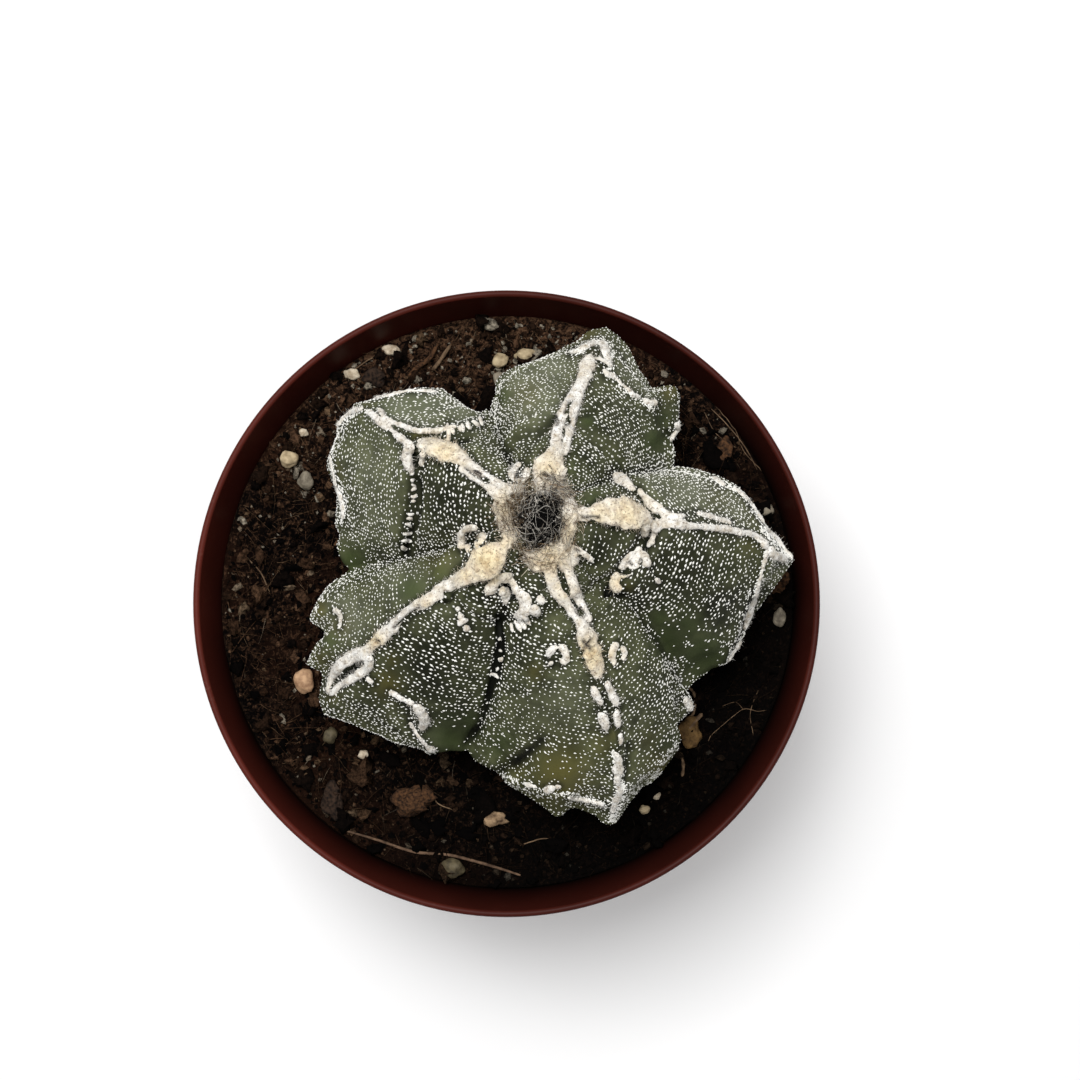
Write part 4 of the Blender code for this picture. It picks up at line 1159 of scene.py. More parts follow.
# 0 on a crest, 1 in a furrow
furrow_share = np.abs((np.arange(skin.shape[1]) / FLANK_COLUMNS + 1) % 2 - 1)[None]
low_green = np.clip((SKIN_LEVELS[:, None] - LOW_GREEN[0]) / LOW_GREEN[1], 0, 1) * np.ones_like(relief)
bare = np.maximum(patches(skin_pixels, BARE) * seen_from_above, low_green)
olive = patches(skin_pixels, OLIVE) * seen_from_above
# sunk, in_furrow and the shaded spots together are the painted shade on the skin.
sunk = np.clip(-relief / DARKEST_SINK, 0, 1)
furrow_shade = np.repeat(FURROW_SHADE, 2 * FLANK_COLUMNS)
in_furrow = furrow_shade * np.clip((furrow_share - FURROW_EDGE) / (1 - FURROW_EDGE), 0, 1)
in_furrow = in_furrow * np.clip((1.0 - SKIN_LEVELS) / FURROW_FADE, 0, 1)[:, None]
spot_shade = patches(skin_pixels, SHADE_SPOTS) * seen_from_above
dark = np.clip(np.maximum(sunk + in_furrow, spot_shade), 0, 1)
# Painted light on the lit shoulders, kept off the painted shade.
pale = patches(skin_pixels, LIT_SPOTS) * seen_from_above * (1 - dark)
print("bare share", bare.mean().round(2), "olive share", olive.mean().round(2))

# %% [markdown]
# ## The skin
#
# Under its flecks the skin is a dull grey green. The material mixes its colours one after another
# by the patches worked out above: painted light on the lit shoulders, and painted shade on the
# flanks turned from the light, in creases and furrows, and beside the wool.
# Noise keeps the green from being flat, and a finer noise gives the bump.

# %% The finish of the skin
SKIN_DEEP = screen(52, 55, 37)
SKIN_GREEN = screen(94, 97, 69)
SKIN_BARE = screen(76, 87, 50)
SKIN_OLIVE = screen(96, 91, 47)
# The colour of the painted light on the skin.
SKIN_LIT = screen(134, 137, 116)
# The colour of the painted shade on the skin.
SKIN_SHADE = screen(9, 11, 5)
cactus_skin = new_finish("cactus_skin", 0.7, Specular_IOR_Level=0.12)
skin_colour = ramp(cactus_skin, grain(cactus_skin, 260.0, 5.0, 0.6), (0.32, SKIN_DEEP), (0.64, SKIN_GREEN))
# pale is painted light; dark and wool_shade are painted shade; bare and olive are the skin's own colours.
for name, patch_colour in (("pale", SKIN_LIT), ("bare", SKIN_BARE), ("olive", SKIN_OLIVE),
                           ("dark", SKIN_SHADE), ("wool_shade", SKIN_SHADE)):
    skin_colour = mixed(cactus_skin, painted(cactus_skin, name), skin_colour, patch_colour)
dress(cactus_skin, skin_colour, grain(cactus_skin, 1700.0, 4.0, 0.6), 0.00012, 0.5)
print("finish", cactus_skin.name)

# %% Wrap the skin and its neck
NECK_TOP = 0.4
NECK_DEPTH = 9.0
NECK_TAPER = 3.0


def neck_rows(last_row):
    """Rings of the round neck under the ribs, from the soil's surface down."""
    direction = unit(last_row[:, :2] - ROOT)
    profile = ((NECK_RADIUS, NECK_TOP), (NECK_RADIUS, NECK_TAPER / 3 - NECK_DEPTH),
               (NECK_RADIUS - NECK_TAPER, -NECK_DEPTH))
    return [np.column_stack((ROOT + radius * direction, np.full(len(direction), SOIL_TOP + rise)))
            for radius, rise in profile]


neck = neck_rows(skin[-1])
skin_marks = [(name, np.vstack((values, np.zeros((len(neck), skin.shape[1])))))
              for name, values in (("bare", bare), ("olive", olive), ("dark", dark), ("pale", pale))]
plant_bm = wrapped(list(skin) + neck, skin_marks)
skin_tree = BVHTree.FromBMesh(plant_bm)
plant = add_piece("ribbed_skin", mesh_from(plant_bm, "ribbed_skin"), cactus_skin,
                  ["cactus_body"])

# %% [markdown]
# ### White flecks
#
# The skin is sprinkled with tiny tufts of white wool, about a quarter of a millimetre wide and
# twice as long, in rows that run round the plant. Each is a low cone on four uneven corners, set
# into the skin. The rows are laid at equal distances down the flanks, and the flecks at equal
# distances along each row, with a little waver. Bare places have nearly none, and some are
# missing anywhere.

# %% Lay out the flecks
FLECK_ROWS = 0.84  # mm between rows
FLECK_SPACING = 0.9  # mm along a row
FIRST_FLECK_ROW = 1.5  # mm down from the tip
FLECKS_TO_LEVEL = 1.62


def on_grid(grid, rows, columns):
    """Values of a grid at fractional rows and columns; the columns run round."""
    row = np.clip(np.floor(rows).astype(int), 0, len(grid) - 2)
    column = np.floor(columns).astype(int)
    down, across = (rows - row)[:, None], (columns - column)[:, None]
    width = grid.shape[1]
    upper = (1 - across) * grid[row, column % width] + across * grid[row, (column + 1) % width]
    lower = (1 - across) * grid[row + 1, column % width] + across * grid[row + 1, (column + 1) % width]
    return (1 - down) * upper + down * lower


def fleck_places():
    """Fractional rows and columns of the skin grid, at even distances on the skin."""
    row_steps = np.linalg.norm(np.diff(skin, axis=0), axis=2).mean(axis=1)
    depth = np.concatenate(([0.0], np.cumsum(row_steps)))
    last = np.interp(FLECKS_TO_LEVEL, SKIN_LEVELS, depth)
    rows, columns = [], []
    for i, at in enumerate(np.arange(FIRST_FLECK_ROW, last, FLECK_ROWS)):
        row = np.interp(at, depth, np.arange(len(depth)))
        all_columns = np.arange(skin.shape[1] + 1)
        ring = on_grid(skin, np.full(len(all_columns), row), all_columns)
        way = way_along(ring)
        count = max(round(way[-1] / FLECK_SPACING), 6)
        stops = (np.arange(count) + 0.5 * (i % 2) + draw.normal(0, 0.2, count)) / count * way[-1]
        columns.append(np.interp(stops % way[-1], way, all_columns))
        rows.append(np.clip(row + draw.normal(0, 0.3, count), 0, len(depth) - 1.01))
    return np.concatenate(rows), np.concatenate(columns)


fleck_rows, fleck_columns = fleck_places()
print(len(fleck_rows), "places for flecks")

# %% Leave some flecks out, and turn the others along the skin
def at_flecks(values):
    """One number of the skin's grid at each fleck."""
    return on_grid(values[..., None], fleck_rows, fleck_columns)[:, 0]


# Flecks are left out where the painted shade is darkest.
black = np.clip((dark - 0.86) / 0.1, 0, 1)
no_fleck = np.clip(1.3 * at_flecks(bare), 0.1, 0.97)
for share, values in ((0.75, olive), (0.85, sunk), (0.95, black)):
    no_fleck = np.maximum(no_fleck, share * at_flecks(values))
kept = draw.uniform(size=len(fleck_rows)) > no_fleck
fleck_rows, fleck_columns = fleck_rows[kept], fleck_columns[kept]
fleck_points = on_grid(skin, fleck_rows, fleck_columns)
fleck_normals = unit(on_grid(skin_out, fleck_rows, fleck_columns))
round_plant = np.roll(skin, -1, axis=1) - np.roll(skin, 1, axis=1)
fleck_headings = unit(on_grid(round_plant, fleck_rows, fleck_columns))
fleck_headings += 0.5 * random_headings(draw, len(fleck_rows))
print(len(fleck_rows), "flecks")

# %% Sprinkle the flecks
FLECK_RADIUS = 0.142
FLECK_DRIFT = 8.0  # mm across a drift of larger or smaller flecks
FLECK_CORNERS = (1.25, 0.8, 1.0, 0.7)
RIB_NAMES = list(CRESTS)
fleck_wool = new_finish("fleck_wool", 0.9, Specular_IOR_Level=0.2, Sheen_Weight=0.3)
dress(fleck_wool, ramp(fleck_wool, grain(fleck_wool, 900.0), (0.3, screen(230, 228, 218)),
                       (0.6, screen(252, 251, 246))))


def fleck_template():
    """A low cone on four uneven corners."""
    bm = bmesh.new()
    bmesh.ops.create_cone(bm, cap_ends=True, segments=4, radius1=1.0, radius2=0.0, depth=1.0,
                          matrix=Matrix.Translation((0, 0, 0.3)))
    base = [vert for vert in bm.verts if vert.co.z < 0]
    for vert, reach in zip(base, FLECK_CORNERS):
        vert.co.xy = vert.co.xy * reach
    return bm


fleck_spot_shade = at_flecks(spot_shade)
fleck_ribs = np.floor((fleck_columns / FLANK_COLUMNS + 1) / 2).astype(int) % len(RIB_NAMES)
for i, name in enumerate(RIB_NAMES):
    mine = fleck_ribs == i
    count = mine.sum()
    patchy = noise_at(fleck_points[mine], FLECK_DRIFT)
    radii = FLECK_RADIUS * (1.0 + 0.5 * patchy + 0.55 * fleck_spot_shade[mine]) * draw.uniform(0.6, 1.4, count)
    sizes = np.column_stack((radii * draw.uniform(1.6, 2.9, count), radii * draw.uniform(0.85, 1.15, count),
                             draw.uniform(0.15, 0.24, count)))
    turns = frames_along(fleck_normals[mine], fleck_headings[mine])
    mesh = strewn(f"flecks_{name}", fleck_template(), fleck_points[mine], turns, sizes)
    add_piece(f"flecks_{name}", mesh, fleck_wool, smooth=False)

# %% [markdown]
# ## The wool
#
# Along each crest the growing points have run together into a band of felt: cream in the pads
# that are still growing, white where it is old. Bands and pads are drawn as they show in the
# photograph, as (pixel across, pixel down, half width in pixels). Each is cast along its lines of
# sight onto the skin and wrapped in a flat tube. A voxel remesh then grows them into one body of
# felt, which gets its lumps from noise and its cracks where the photograph shows them: each
# crack is sunk in and darkened with painted shade.

# %% Where the felt lies
FELT = {
    "right of the tip": ((541, 487, 7), (552, 488, 8), (562, 496, 8), (569, 507, 7.5), (569, 520, 7.5),
        (566, 533, 7.5), (560, 544, 8.5), (552, 551, 9), (542, 556, 8), (530, 556, 6)),
    "left of the tip": ((526, 492, 5), (514, 491, 8), (505, 496, 11), (503, 508, 10), (506, 521, 8.5),
        (509, 533, 7), (510, 543, 6)),
    "south base": ((524, 556, 5), (536, 562, 8), (550, 565, 9), (565, 561, 8), (578, 556, 5)),
    "slot left lobe": ((513, 481, 3.2), (512, 475, 4.8), (515.5, 469, 4.6), (521, 465, 3.2)),
    "slot right lobe": ((527, 468, 3.2), (527, 473, 4.4), (524, 479, 4.4), (518, 483, 3.2)),
    "east": ((568, 517, 7), (577, 515, 7), (590, 514, 7), (603, 512, 12), (614, 512, 15),
        (627, 513, 16.5), (638, 514, 15), (646, 519, 10), (645, 529, 7), (643, 537, 4)),
    "north root": ((541, 489, 7), (545, 480, 12), (549, 470, 16), (552, 461, 13), (556, 453, 8),
        (559, 446, 6)),
    "north left strand": ((555, 448, 5), (557, 432, 5), (562, 417, 5), (570, 398, 4), (577, 387, 4),
        (584, 374, 5)),
    "north right strand": ((564, 455, 3), (568, 438, 4), (572, 417, 4), (577, 402, 4), (581, 388, 4),
        (586, 372, 5)),
    "north end": ((584, 380, 5), (586, 370, 7.5), (589, 361, 6), (591, 355, 4)),
    "north star": ((570, 353, 2), (578, 351, 3.4), (585, 348, 4.6), (592, 345, 4), (598, 342, 3)),
    "north star arm": ((602, 342, 3.4), (604, 348, 4.6), (606, 356, 4.4), (609, 363, 3)),
    "north second arm": ((594, 356, 2), (603, 361, 2.2), (612, 366, 1.6)),
    "northwest left strand": ((513, 499, 6), (503, 495, 6), (491, 489, 4), (480, 481, 3.5),
        (470, 473, 4), (462, 466, 6)),
    "northwest right strand": ((514, 492, 6), (505, 488, 6), (494, 481, 4), (483, 474, 3.5),
        (473, 467, 5), (464, 461, 8), (455, 456, 12), (444, 451, 14), (434, 446, 12), (425, 444, 9),
        (419, 448, 5)),
    "northwest pit left": ((409, 447, 4.4), (407, 457, 5), (409, 466, 4.4), (413, 472, 3)),
    "northwest pit right": ((424, 452, 3.4), (423, 460, 3.4), (421, 466, 2.4)),
    "southwest": ((510, 541, 5), (504, 545, 6), (498, 551, 11), (489, 560, 16), (479, 567, 15.5),
        (469, 574, 10), (459, 580, 8), (448, 588, 8), (437, 594, 6.5), (425, 602, 6.5), (414, 608, 6),
        (404, 615, 6), (394, 626, 6.5), (385, 634, 7), (377, 641, 8), (370, 648, 6), (363, 655, 5)),
    "southwest upper curl": ((462, 549, 3.4), (461, 541, 4), (464, 533, 4.4), (470, 528, 4.4),
        (477, 527, 3.4)),
    "southwest upper lobe": ((480, 533, 3.4), (483, 538, 4), (479, 545, 3)),
    "southwest left arm": ((368, 652, 6), (357, 655, 6), (347, 660, 6), (338, 668, 5.4),
        (331, 680, 4.4), (328, 692, 3)),
    "southwest right arm": ((368, 655, 6), (369, 665, 4.5), (362, 672, 4), (352, 679, 4), (341, 686, 4),
        (331, 694, 3)),
    "south left": ((544, 558, 8), (548, 571, 8), (553, 583, 8), (559, 594, 7), (566, 603, 5),
        (573, 612, 4.5), (580, 622, 5), (584, 632, 9), (590, 645, 11), (594, 658, 11), (597, 669, 8),
        (598, 679, 3)),
    "south right": ((564, 558, 7), (568, 571, 6), (572, 584, 6), (577, 596, 5), (582, 607, 4),
        (588, 617, 3.5)),
    "south arm": ((566, 547, 6), (576, 549, 4), (585, 554, 3), (593, 561, 2)),
    "south pair left": ((593, 686, 3), (596, 694, 3.4), (602, 705, 3)),
    "south pair right": ((606, 682, 3), (611, 692, 4.2), (617, 706, 3)),
    "south low pair left": ((600, 712, 3), (604, 721, 5), (606, 730, 3)),
    "south low pair right": ((616, 710, 2.6), (617, 718, 3.4), (618, 727, 2.4)),
    "southwest low patch": ((414, 704, 2.4), (420, 710, 4.6), (424, 717, 6), (424, 724, 4.6),
        (421, 729, 2.4)),
    "east low crescent": ((620, 574, 4.6), (615, 579, 5.6), (615, 586, 6), (620, 591, 4.6)),
    "east upper blob": ((613, 474, 4), (619, 478, 6), (627, 484, 5), (634, 491, 3)),
}
print(len(FELT), "bands of felt")

# %% Where the felt is cracked
# (half width in pixels, points)
CRACKS = {
    "east": (2.2, ((583, 518), (599, 518))),
    "northwest": (2, ((466, 467), (475, 474), (487, 481))),
    "north pad": (3, ((544, 474), (548, 478))),
    "north": (2.5, ((566, 412), (570, 401))),
    "north pit": (3, ((554, 418), (556, 422))),
    "north fork": (3, ((595, 350), (596, 353))),
    "east curl pits": (1.6, ((630, 563), (631, 564))),
    "east curl second pit": (1.6, ((640, 560), (640, 562))),
    "east curl slit": (1.6, ((623, 573), (632, 572))),
    "southwest": (3, ((447, 594), (450, 602))),
    "southwest brown": (2.8, ((393, 627), (404, 619), (418, 609))),
    "southwest end": (2, ((375, 640), (378, 643))),
    "south left": (2.2, ((541, 575), (544, 587))),
    "south right": (2.2, ((558, 566), (562, 578), (567, 590))),
    "south grey pit": (3.2, ((578, 609), (583, 614))),
    "south pad": (2.6, ((584, 642), (592, 649))),
    "south pad cross": (2.2, ((592, 641), (585, 649))),
    "tip slit": (2, ((513, 495), (526, 508))),
    "tip low slit": (2, ((508, 502), (513, 510))),
    "slot by the tip": (2.2, ((518, 477), (520, 471))),
    "south arm": (1.8, ((575, 550), (579, 552))),
    "southwest curl": (2.6, ((467, 536), (475, 536))),
}
print(len(CRACKS), "cracks")

# %% Cast a mark onto the skin
CAST_STEP = 2.0  # pixels between casts
BAND_SIDES = 10
NEAR = 0.7  # mm within which the skin's direction is averaged
PLANT_MIDDLE = (*ROOT, SOIL_TOP + 40.0)
TIP_PIXEL = (538, 521)


def seen(pixel):
    """Where a line of sight meets the skin, in mm, and the skin's mean direction there."""
    hit = first_met(skin_tree, np.array(pixel, float), pixel_of(PLANT_MIDDLE))
    near = skin_tree.find_nearest_range(hit, NEAR * MM)
    return np.array(hit) / MM, np.array(sum((found[1] for found in near), Vector()).normalized())


def cast(mark):
    """Points, directions and half widths in mm on the skin, along (x, y, half width) in pixels."""
    mark = np.array(mark, float)
    way = way_along(mark[:, :2])
    stops = np.linspace(0, way[-1], max(int(way[-1] / CAST_STEP), 2) + 1)
    smooth = along(way, mark, stops)
    found = [seen(pixel) for pixel in smooth[:, :2]]
    points = np.array([point for point, _ in found])
    normals = np.array([normal for _, normal in found])
    nearness = (EYE[2] - RIM_TOP) / (EYE[2] - points[:, 2])
    return points, normals, smooth[:, 2] / PIXELS_PER_MM / nearness


def flat_tube(points, normals, widths, heights):
    """A tube on the skin, half sunk in it, from half widths and heights in mm."""
    ahead = np.gradient(points, axis=0)
    ahead /= np.linalg.norm(ahead, axis=1, keepdims=True) + 1e-9
    across = np.cross(normals, ahead)
    across /= np.linalg.norm(across, axis=1, keepdims=True) + 1e-9
    up = np.cross(ahead, across)
    turns = (np.arange(BAND_SIDES) * math.tau / BAND_SIDES)[None, :, None]
    return (points[:, None] + np.cos(turns) * across[:, None] * widths[:, None, None]
            + np.sin(turns) * up[:, None] * heights[:, None, None])


print("the tip shows its skin at", seen(TIP_PIXEL)[0].round(1))

# %% Bands, and how they grow into one body
REMESH_LOSS = 0.14  # mm that the remesh and the skin take away from a half width
WAVER_LENGTH = 1.1  # mm
BAND_END = 0.6  # of a band's width and height


def bands_along(marks, least, steepness, most, waver):
    """Flat tubes along marks. Their half height, from least to most mm, grows with their half width."""
    bands = bmesh.new()
    for mark in marks:
        points, normals, widths = cast(mark)
        widths = REMESH_LOSS + widths * (1.0 + waver * noise_at(points, WAVER_LENGTH))
        ends = np.ones(len(points))
        ends[[0, -1]] = BAND_END
        heights = np.clip(least + steepness * widths, least, most)
        gather(bands, wrapped(flat_tube(points, normals, widths * ends, heights * ends)))
    return bands


def grown(name, bands, voxel, smoothing):
    """Tubes grown into one body by a voxel remesh."""
    return applied(mesh_from(bands, name), ("REMESH", {"mode": "VOXEL", "voxel_size": voxel * MM}),
                   ("SMOOTH", {"iterations": smoothing}))


print("bands waver once in", WAVER_LENGTH, "mm")

# %% Lumps, cracks and cream pads
CRACK_DEPTH = 0.8  # mm
LUMP_SIZES = (1.6, 0.55)  # mm across, coarse and fine


def cracks_at(pixels):
    """0 away from the cracks, 1 in their middle."""
    depth = np.zeros(len(pixels))
    for width, mark in CRACKS.values():
        depth = np.maximum(depth, np.exp(-((distance_to(pixels, mark) / width) ** 2)))
    return depth


# (pixel across, pixel down, reach in pixels, strength)
CREAM_PADS = (
    (487, 560, 26, 1.0), (466, 574, 14, 0.8), (627, 513, 24, 0.8), (600, 513, 14, 0.7),
    (444, 451, 22, 0.8), (593, 655, 22, 0.9), (549, 468, 18, 0.75), (505, 542, 14, 0.7),
    (548, 560, 24, 0.8), (568, 530, 18, 0.7), (376, 641, 10, 0.9), (587, 368, 12, 0.25),
    (425, 602, 12, 0.5), (504, 508, 18, 0.7), (616, 583, 12, 0.7), (563, 590, 14, 0.5),
)


def felted(mesh, coarse, fine):
    """Gives wool its lumps, in mm, and its cracks, and paints where it is cracked, for painted shade, and
    where it is cream.
    """
    points = points_of(mesh) / MM
    pixels = pixel_of(points)
    cracks = cracks_at(pixels)
    lumps = sum(high * noise_at(points, across) for high, across in zip((coarse, fine), LUMP_SIZES))
    set_points(mesh, (points + (lumps - CRACK_DEPTH * cracks)[:, None] * points_of(mesh, "normal")) * MM)
    paint(mesh, "crack_shade", cracks)
    paint(mesh, "cream", patches(pixels, CREAM_PADS))
    return mesh


print(len(CREAM_PADS), "cream pads")

# %% The finish of the wool
felt_wool = new_finish("crest_wool", 0.95, Specular_IOR_Level=0.15, Sheen_Weight=0.3, Sheen_Roughness=0.5)
old_wool = ramp(felt_wool, grain(felt_wool, 700.0, 5.0, 0.6), (0.3, screen(196, 184, 164)),
                (0.58, screen(250, 247, 240)))
young_wool = ramp(felt_wool, grain(felt_wool, 900.0, 5.0, 0.6), (0.3, screen(182, 150, 102)),
                  (0.58, screen(244, 226, 184)))
both_wools = mixed(felt_wool, painted(felt_wool, "cream"), old_wool, young_wool)
specks = ramp(felt_wool, grain(felt_wool, 2400.0, 4.0), (0.36, neutral(0.6)), (0.43, neutral(0)))
speckled = mixed(felt_wool, specks, both_wools, screen(104, 78, 54))
# The dark in the cracks is painted shade.
crack_shaded = mixed(felt_wool, painted(felt_wool, "crack_shade"), speckled, screen(40, 28, 20))
dress(felt_wool, crack_shaded, grain(felt_wool, 3200.0, 6.0, 0.7), 0.0002, 0.9)
print("finish", felt_wool.name)

# %% Grow the felt
felt_bands = bands_along(FELT.values(), least=0.35, steepness=0.34, most=1.3, waver=0.3)
felt_mesh = felted(grown("crest_felt", felt_bands, voxel=0.24, smoothing=2), coarse=0.16, fine=0.17)
add_piece("crest_felt", felt_mesh, felt_wool, ["crest_wool"])

# %% [markdown]
# ### White lines, curls and stitches
#
# Where tubercles have parted, a white line of wool marks each seam. Some curl round a pit, and
# some are broken into stitches that cross the seam. The lines are drawn like the felt, in the
# same three numbers, and grown by the same remesh with a smaller voxel, so that they run together
# where they meet. The stitches stay tubes of their own, because a remesh would fuse them.

# %% Where the lines lie
LINES = {
    "east crest": ((650, 527, 4), (660, 524, 5.5), (672, 524, 4.5), (691, 526, 3), (717, 528, 2.8),
        (740, 532, 3.2), (757, 538, 4.5), (767, 547, 4.5)),
    "east crest tail": ((661, 525, 3), (656, 531, 3), (652, 540, 3)),
    "east tip upper": ((765, 529, 2.4), (773, 536, 3.4), (783, 546, 3.4), (791, 558, 3)),
    "east tip lower": ((767, 549, 3.5), (776, 556, 4), (786, 559, 3)),
    "east upper": ((639, 489, 3), (647, 500, 3.4), (659, 510, 4), (671, 517, 4), (685, 515, 3)),
    "east upper outer": ((696, 513, 2.8), (711, 517, 3), (731, 523, 2.4)),
    "east glint": ((713, 477, 1.6), (724, 486, 2.2)),
    "east far edge": ((733, 487, 1.5), (749, 502, 1.7), (764, 524, 2)),
    "east outer edge": ((767, 551, 2.4), (762, 570, 1.2), (757, 590, 2), (751, 607, 4.6), (747, 620, 4),
        (744, 630, 2)),
    "east outer foot": ((741, 640, 1.4), (736, 650, 1.8), (728, 661, 1.2)),
    "east curl": ((621, 569, 4), (623, 564, 4.6), (630, 557, 4.8), (639, 555, 4.8), (645, 559, 4.2),
        (649, 566, 3.2)),
    "east curl heart": ((629, 567, 3.6), (634, 565, 4), (640, 566, 3)),
    "east curl tail": ((621, 577, 2.4), (627, 575, 2), (633, 573, 1.4)),
    "east upper bead": ((636, 548, 2), (641, 550, 2.6)),
    "east upper tick": ((647, 546, 1.6), (651, 543, 2.2), (655, 541, 2.2)),
    "east crumb": ((655, 578, 2), (660, 583, 2.4)),
    "north low curl": ((603, 369, 3), (607, 374, 2.4), (613, 376, 2.4), (616, 379, 1.6)),
    "north shoulder": ((616, 379, 1.2), (627, 389, 1.2), (633, 395, 2.6), (640, 397, 1.6)),
    "north shoulder end": ((643, 399, 1.8), (650, 403, 3), (657, 402, 2)),
    "north nub": ((674, 424, 2), (679, 427, 3), (682, 430, 2.4)),
    "northwest lower": ((410, 456, 3.4), (409, 446, 3.6), (402, 439, 3.2), (391, 431, 2.8),
        (380, 421, 2.8), (368, 411, 2.8)),
    "northwest upper": ((379, 409, 1.6), (385, 418, 1.8), (400, 425, 2), (414, 430, 2.2),
        (430, 431, 2.4), (443, 430, 2.6), (456, 426, 2.4)),
    "northwest tip edge": ((364, 408, 2.2), (353, 412, 2.4), (344, 417, 2.2), (338, 427, 2)),
    "northwest top edge": ((372, 399, 1.3), (390, 393, 1.5), (410, 391, 1.3), (436, 392, 1.2)),
    "northwest left edge": ((330, 455, 1.2), (333, 470, 1.2), (338, 490, 2), (343, 505, 2.6),
        (343, 519, 1.6)),
    "southwest low": ((389, 691, 2), (401, 698, 2.6), (414, 704, 3)),
    "southwest foot": ((410, 722, 1.6), (419, 736, 1.8), (428, 747, 2.4), (434, 751, 3)),
    "southwest side": ((333, 611, 2.2), (338, 611, 2.6), (341, 620, 2), (340, 628, 1.6)),
    "southwest bead": ((367, 678, 2.6), (371, 681, 3.2), (374, 682, 2.6)),
    "south curl left": ((489, 594, 4.4), (492, 586, 5.6), (498, 580, 6), (505, 577, 5.6),
        (511, 580, 4.6)),
    "south curl right": ((511, 580, 4.4), (515, 586, 5), (516, 593, 4)),
    "south inner curl": ((499, 591, 4.2), (504, 592, 5), (506, 599, 4.6), (505, 604, 3.6)),
    "south lobe": ((518, 592, 5), (524, 598, 6.6), (526, 605, 6.6), (522, 613, 5.6), (516, 617, 4)),
    "south ridge end": ((537, 597, 2.6), (541, 600, 4), (545, 602, 2.6)),
    "south left ring": ((547, 657, 2.4), (551, 650, 3), (557, 646, 3)),
    "south left ring side": ((560, 645, 3.4), (565, 651, 3.8), (566, 658, 3.4), (562, 664, 2.8)),
    "south left ring bead": ((549, 662, 1.8), (552, 664, 2)),
    "south right ring": ((618, 643, 2.6), (613, 649, 3.2), (612, 657, 3.4), (615, 665, 3)),
    "south right ring side": ((621, 646, 2), (625, 653, 2.4), (622, 661, 2.2)),
    "south bead": ((584, 615, 2.6), (588, 618, 3.2), (591, 621, 2.6)),
    "south crack bit": ((620, 733, 2.2), (621, 745, 2.2)),
    "south crest": ((615, 752, 1.4), (619, 760, 3), (618, 770, 4), (617, 780, 2.4), (620, 790, 2.6),
        (616, 800, 2.6), (612, 812, 2)),
    "south outer": ((524, 783, 1), (530, 785, 1.8), (537, 787, 2)),
    "south outer lumps": ((544, 790, 3.6), (550, 789, 4.4), (554, 786, 2)),
    "south outer bead": ((557, 785, 2.4), (560, 788, 3)),
    "south far ridge": ((567, 797, 1.2), (585, 800, 1.8), (604, 804, 2)),
    "southeast nub": ((684, 698, 2.4), (688, 704, 4), (692, 710, 2.4)),
}
print(len(LINES), "white lines")

# %% Where the stitches lie
# (length, spacing and half width of the stitches in pixels, path)
STITCHES = {
    "northwest upper": (10, 6, 1.8, ((446, 433), (462, 428), (482, 421))),
    "northwest seam": (6, 5.5, 1.2, ((412, 474), (414, 490), (413, 506))),
    "northwest low seam": (10, 7, 1.4, ((411, 512), (408, 526), (407, 539), (403, 552))),
    "southwest cluster": (9, 5, 2.6, ((458, 608), (462, 620), (468, 631))),
    "southwest upper cluster": (7, 6, 2, ((465, 549), (477, 545))),
    "south left seam": (5, 9, 1.5, ((500, 640), (501, 656), (493, 680))),
}
# Stitches drawn one by one: (pixel across, pixel down, half width)
SINGLE_STITCHES = (
    ((531, 607, 4.6), (535, 611, 5.6), (538, 615, 4.6)),
    ((523, 614, 1.8), (526, 619, 2.4), (530, 624, 1.6)),
    ((518, 616, 1.5), (522, 623, 2.2), (526, 629, 1.5)),
    ((515, 620, 1.3), (518, 625, 1.9), (521, 631, 1.3)),
    ((511, 623, 1.0), (512, 628, 1.2), (513, 632, 1.0)),
)
print(len(STITCHES), "stitched seams and", len(SINGLE_STITCHES), "single stitches")

# %% Sew the stitches, and grow the lines
def stitches(length, spacing, thick, path):
    """Short marks across a path of pixels, as (x, y, half width)."""
    path = np.array(path, float)
    way = way_along(path)
    stops = np.arange(0, way[-1] + 0.01, spacing)
    stops = np.clip(stops + draw.normal(0, 0.2 * spacing, len(stops)), 0, way[-1])
    middles = along(way, path, stops)
    ahead = along(way, path, stops + 1.0) - along(way, path, stops - 1.0)
    across = unit(np.column_stack((-ahead[:, 1], ahead[:, 0])))
    marks = []
    for middle, direction in zip(middles, across):
        reach = 0.5 * length * draw.uniform(0.55, 1.15)
        direction = direction + draw.normal(0, 0.25, 2)
        bow = draw.normal(0, 1.2, 2)
        width = thick * draw.uniform(0.7, 1.25)
        marks.append([(*(middle + share * reach * direction + (1 - abs(share)) * bow),
                       width * (1 - 0.35 * abs(share))) for share in (-1, 0, 1)])
    return marks


line_marks = list(LINES.values())
line_bands = bands_along(line_marks, least=0.28, steepness=0.35, most=0.7, waver=0.5)
line_mesh = felted(grown("white_lines", line_bands, voxel=0.22, smoothing=1), coarse=0.16, fine=0.18)
add_piece("white_lines", line_mesh, felt_wool)
stitch_marks = list(SINGLE_STITCHES)
for stitch in STITCHES.values():
    stitch_marks += stitches(*stitch)
stitch_bands = bands_along(stitch_marks, least=0.3, steepness=0.35, most=0.7, waver=0.3)
stitch_mesh = felted(mesh_from(stitch_bands, "wool_stitches"), coarse=0.06, fine=0.08)
add_piece("wool_stitches", stitch_mesh, felt_wool)

# %% Shade the skin beside the wool
WOOL_SHADE = 0.65
SHADE_REACH = 3.0  # pixels


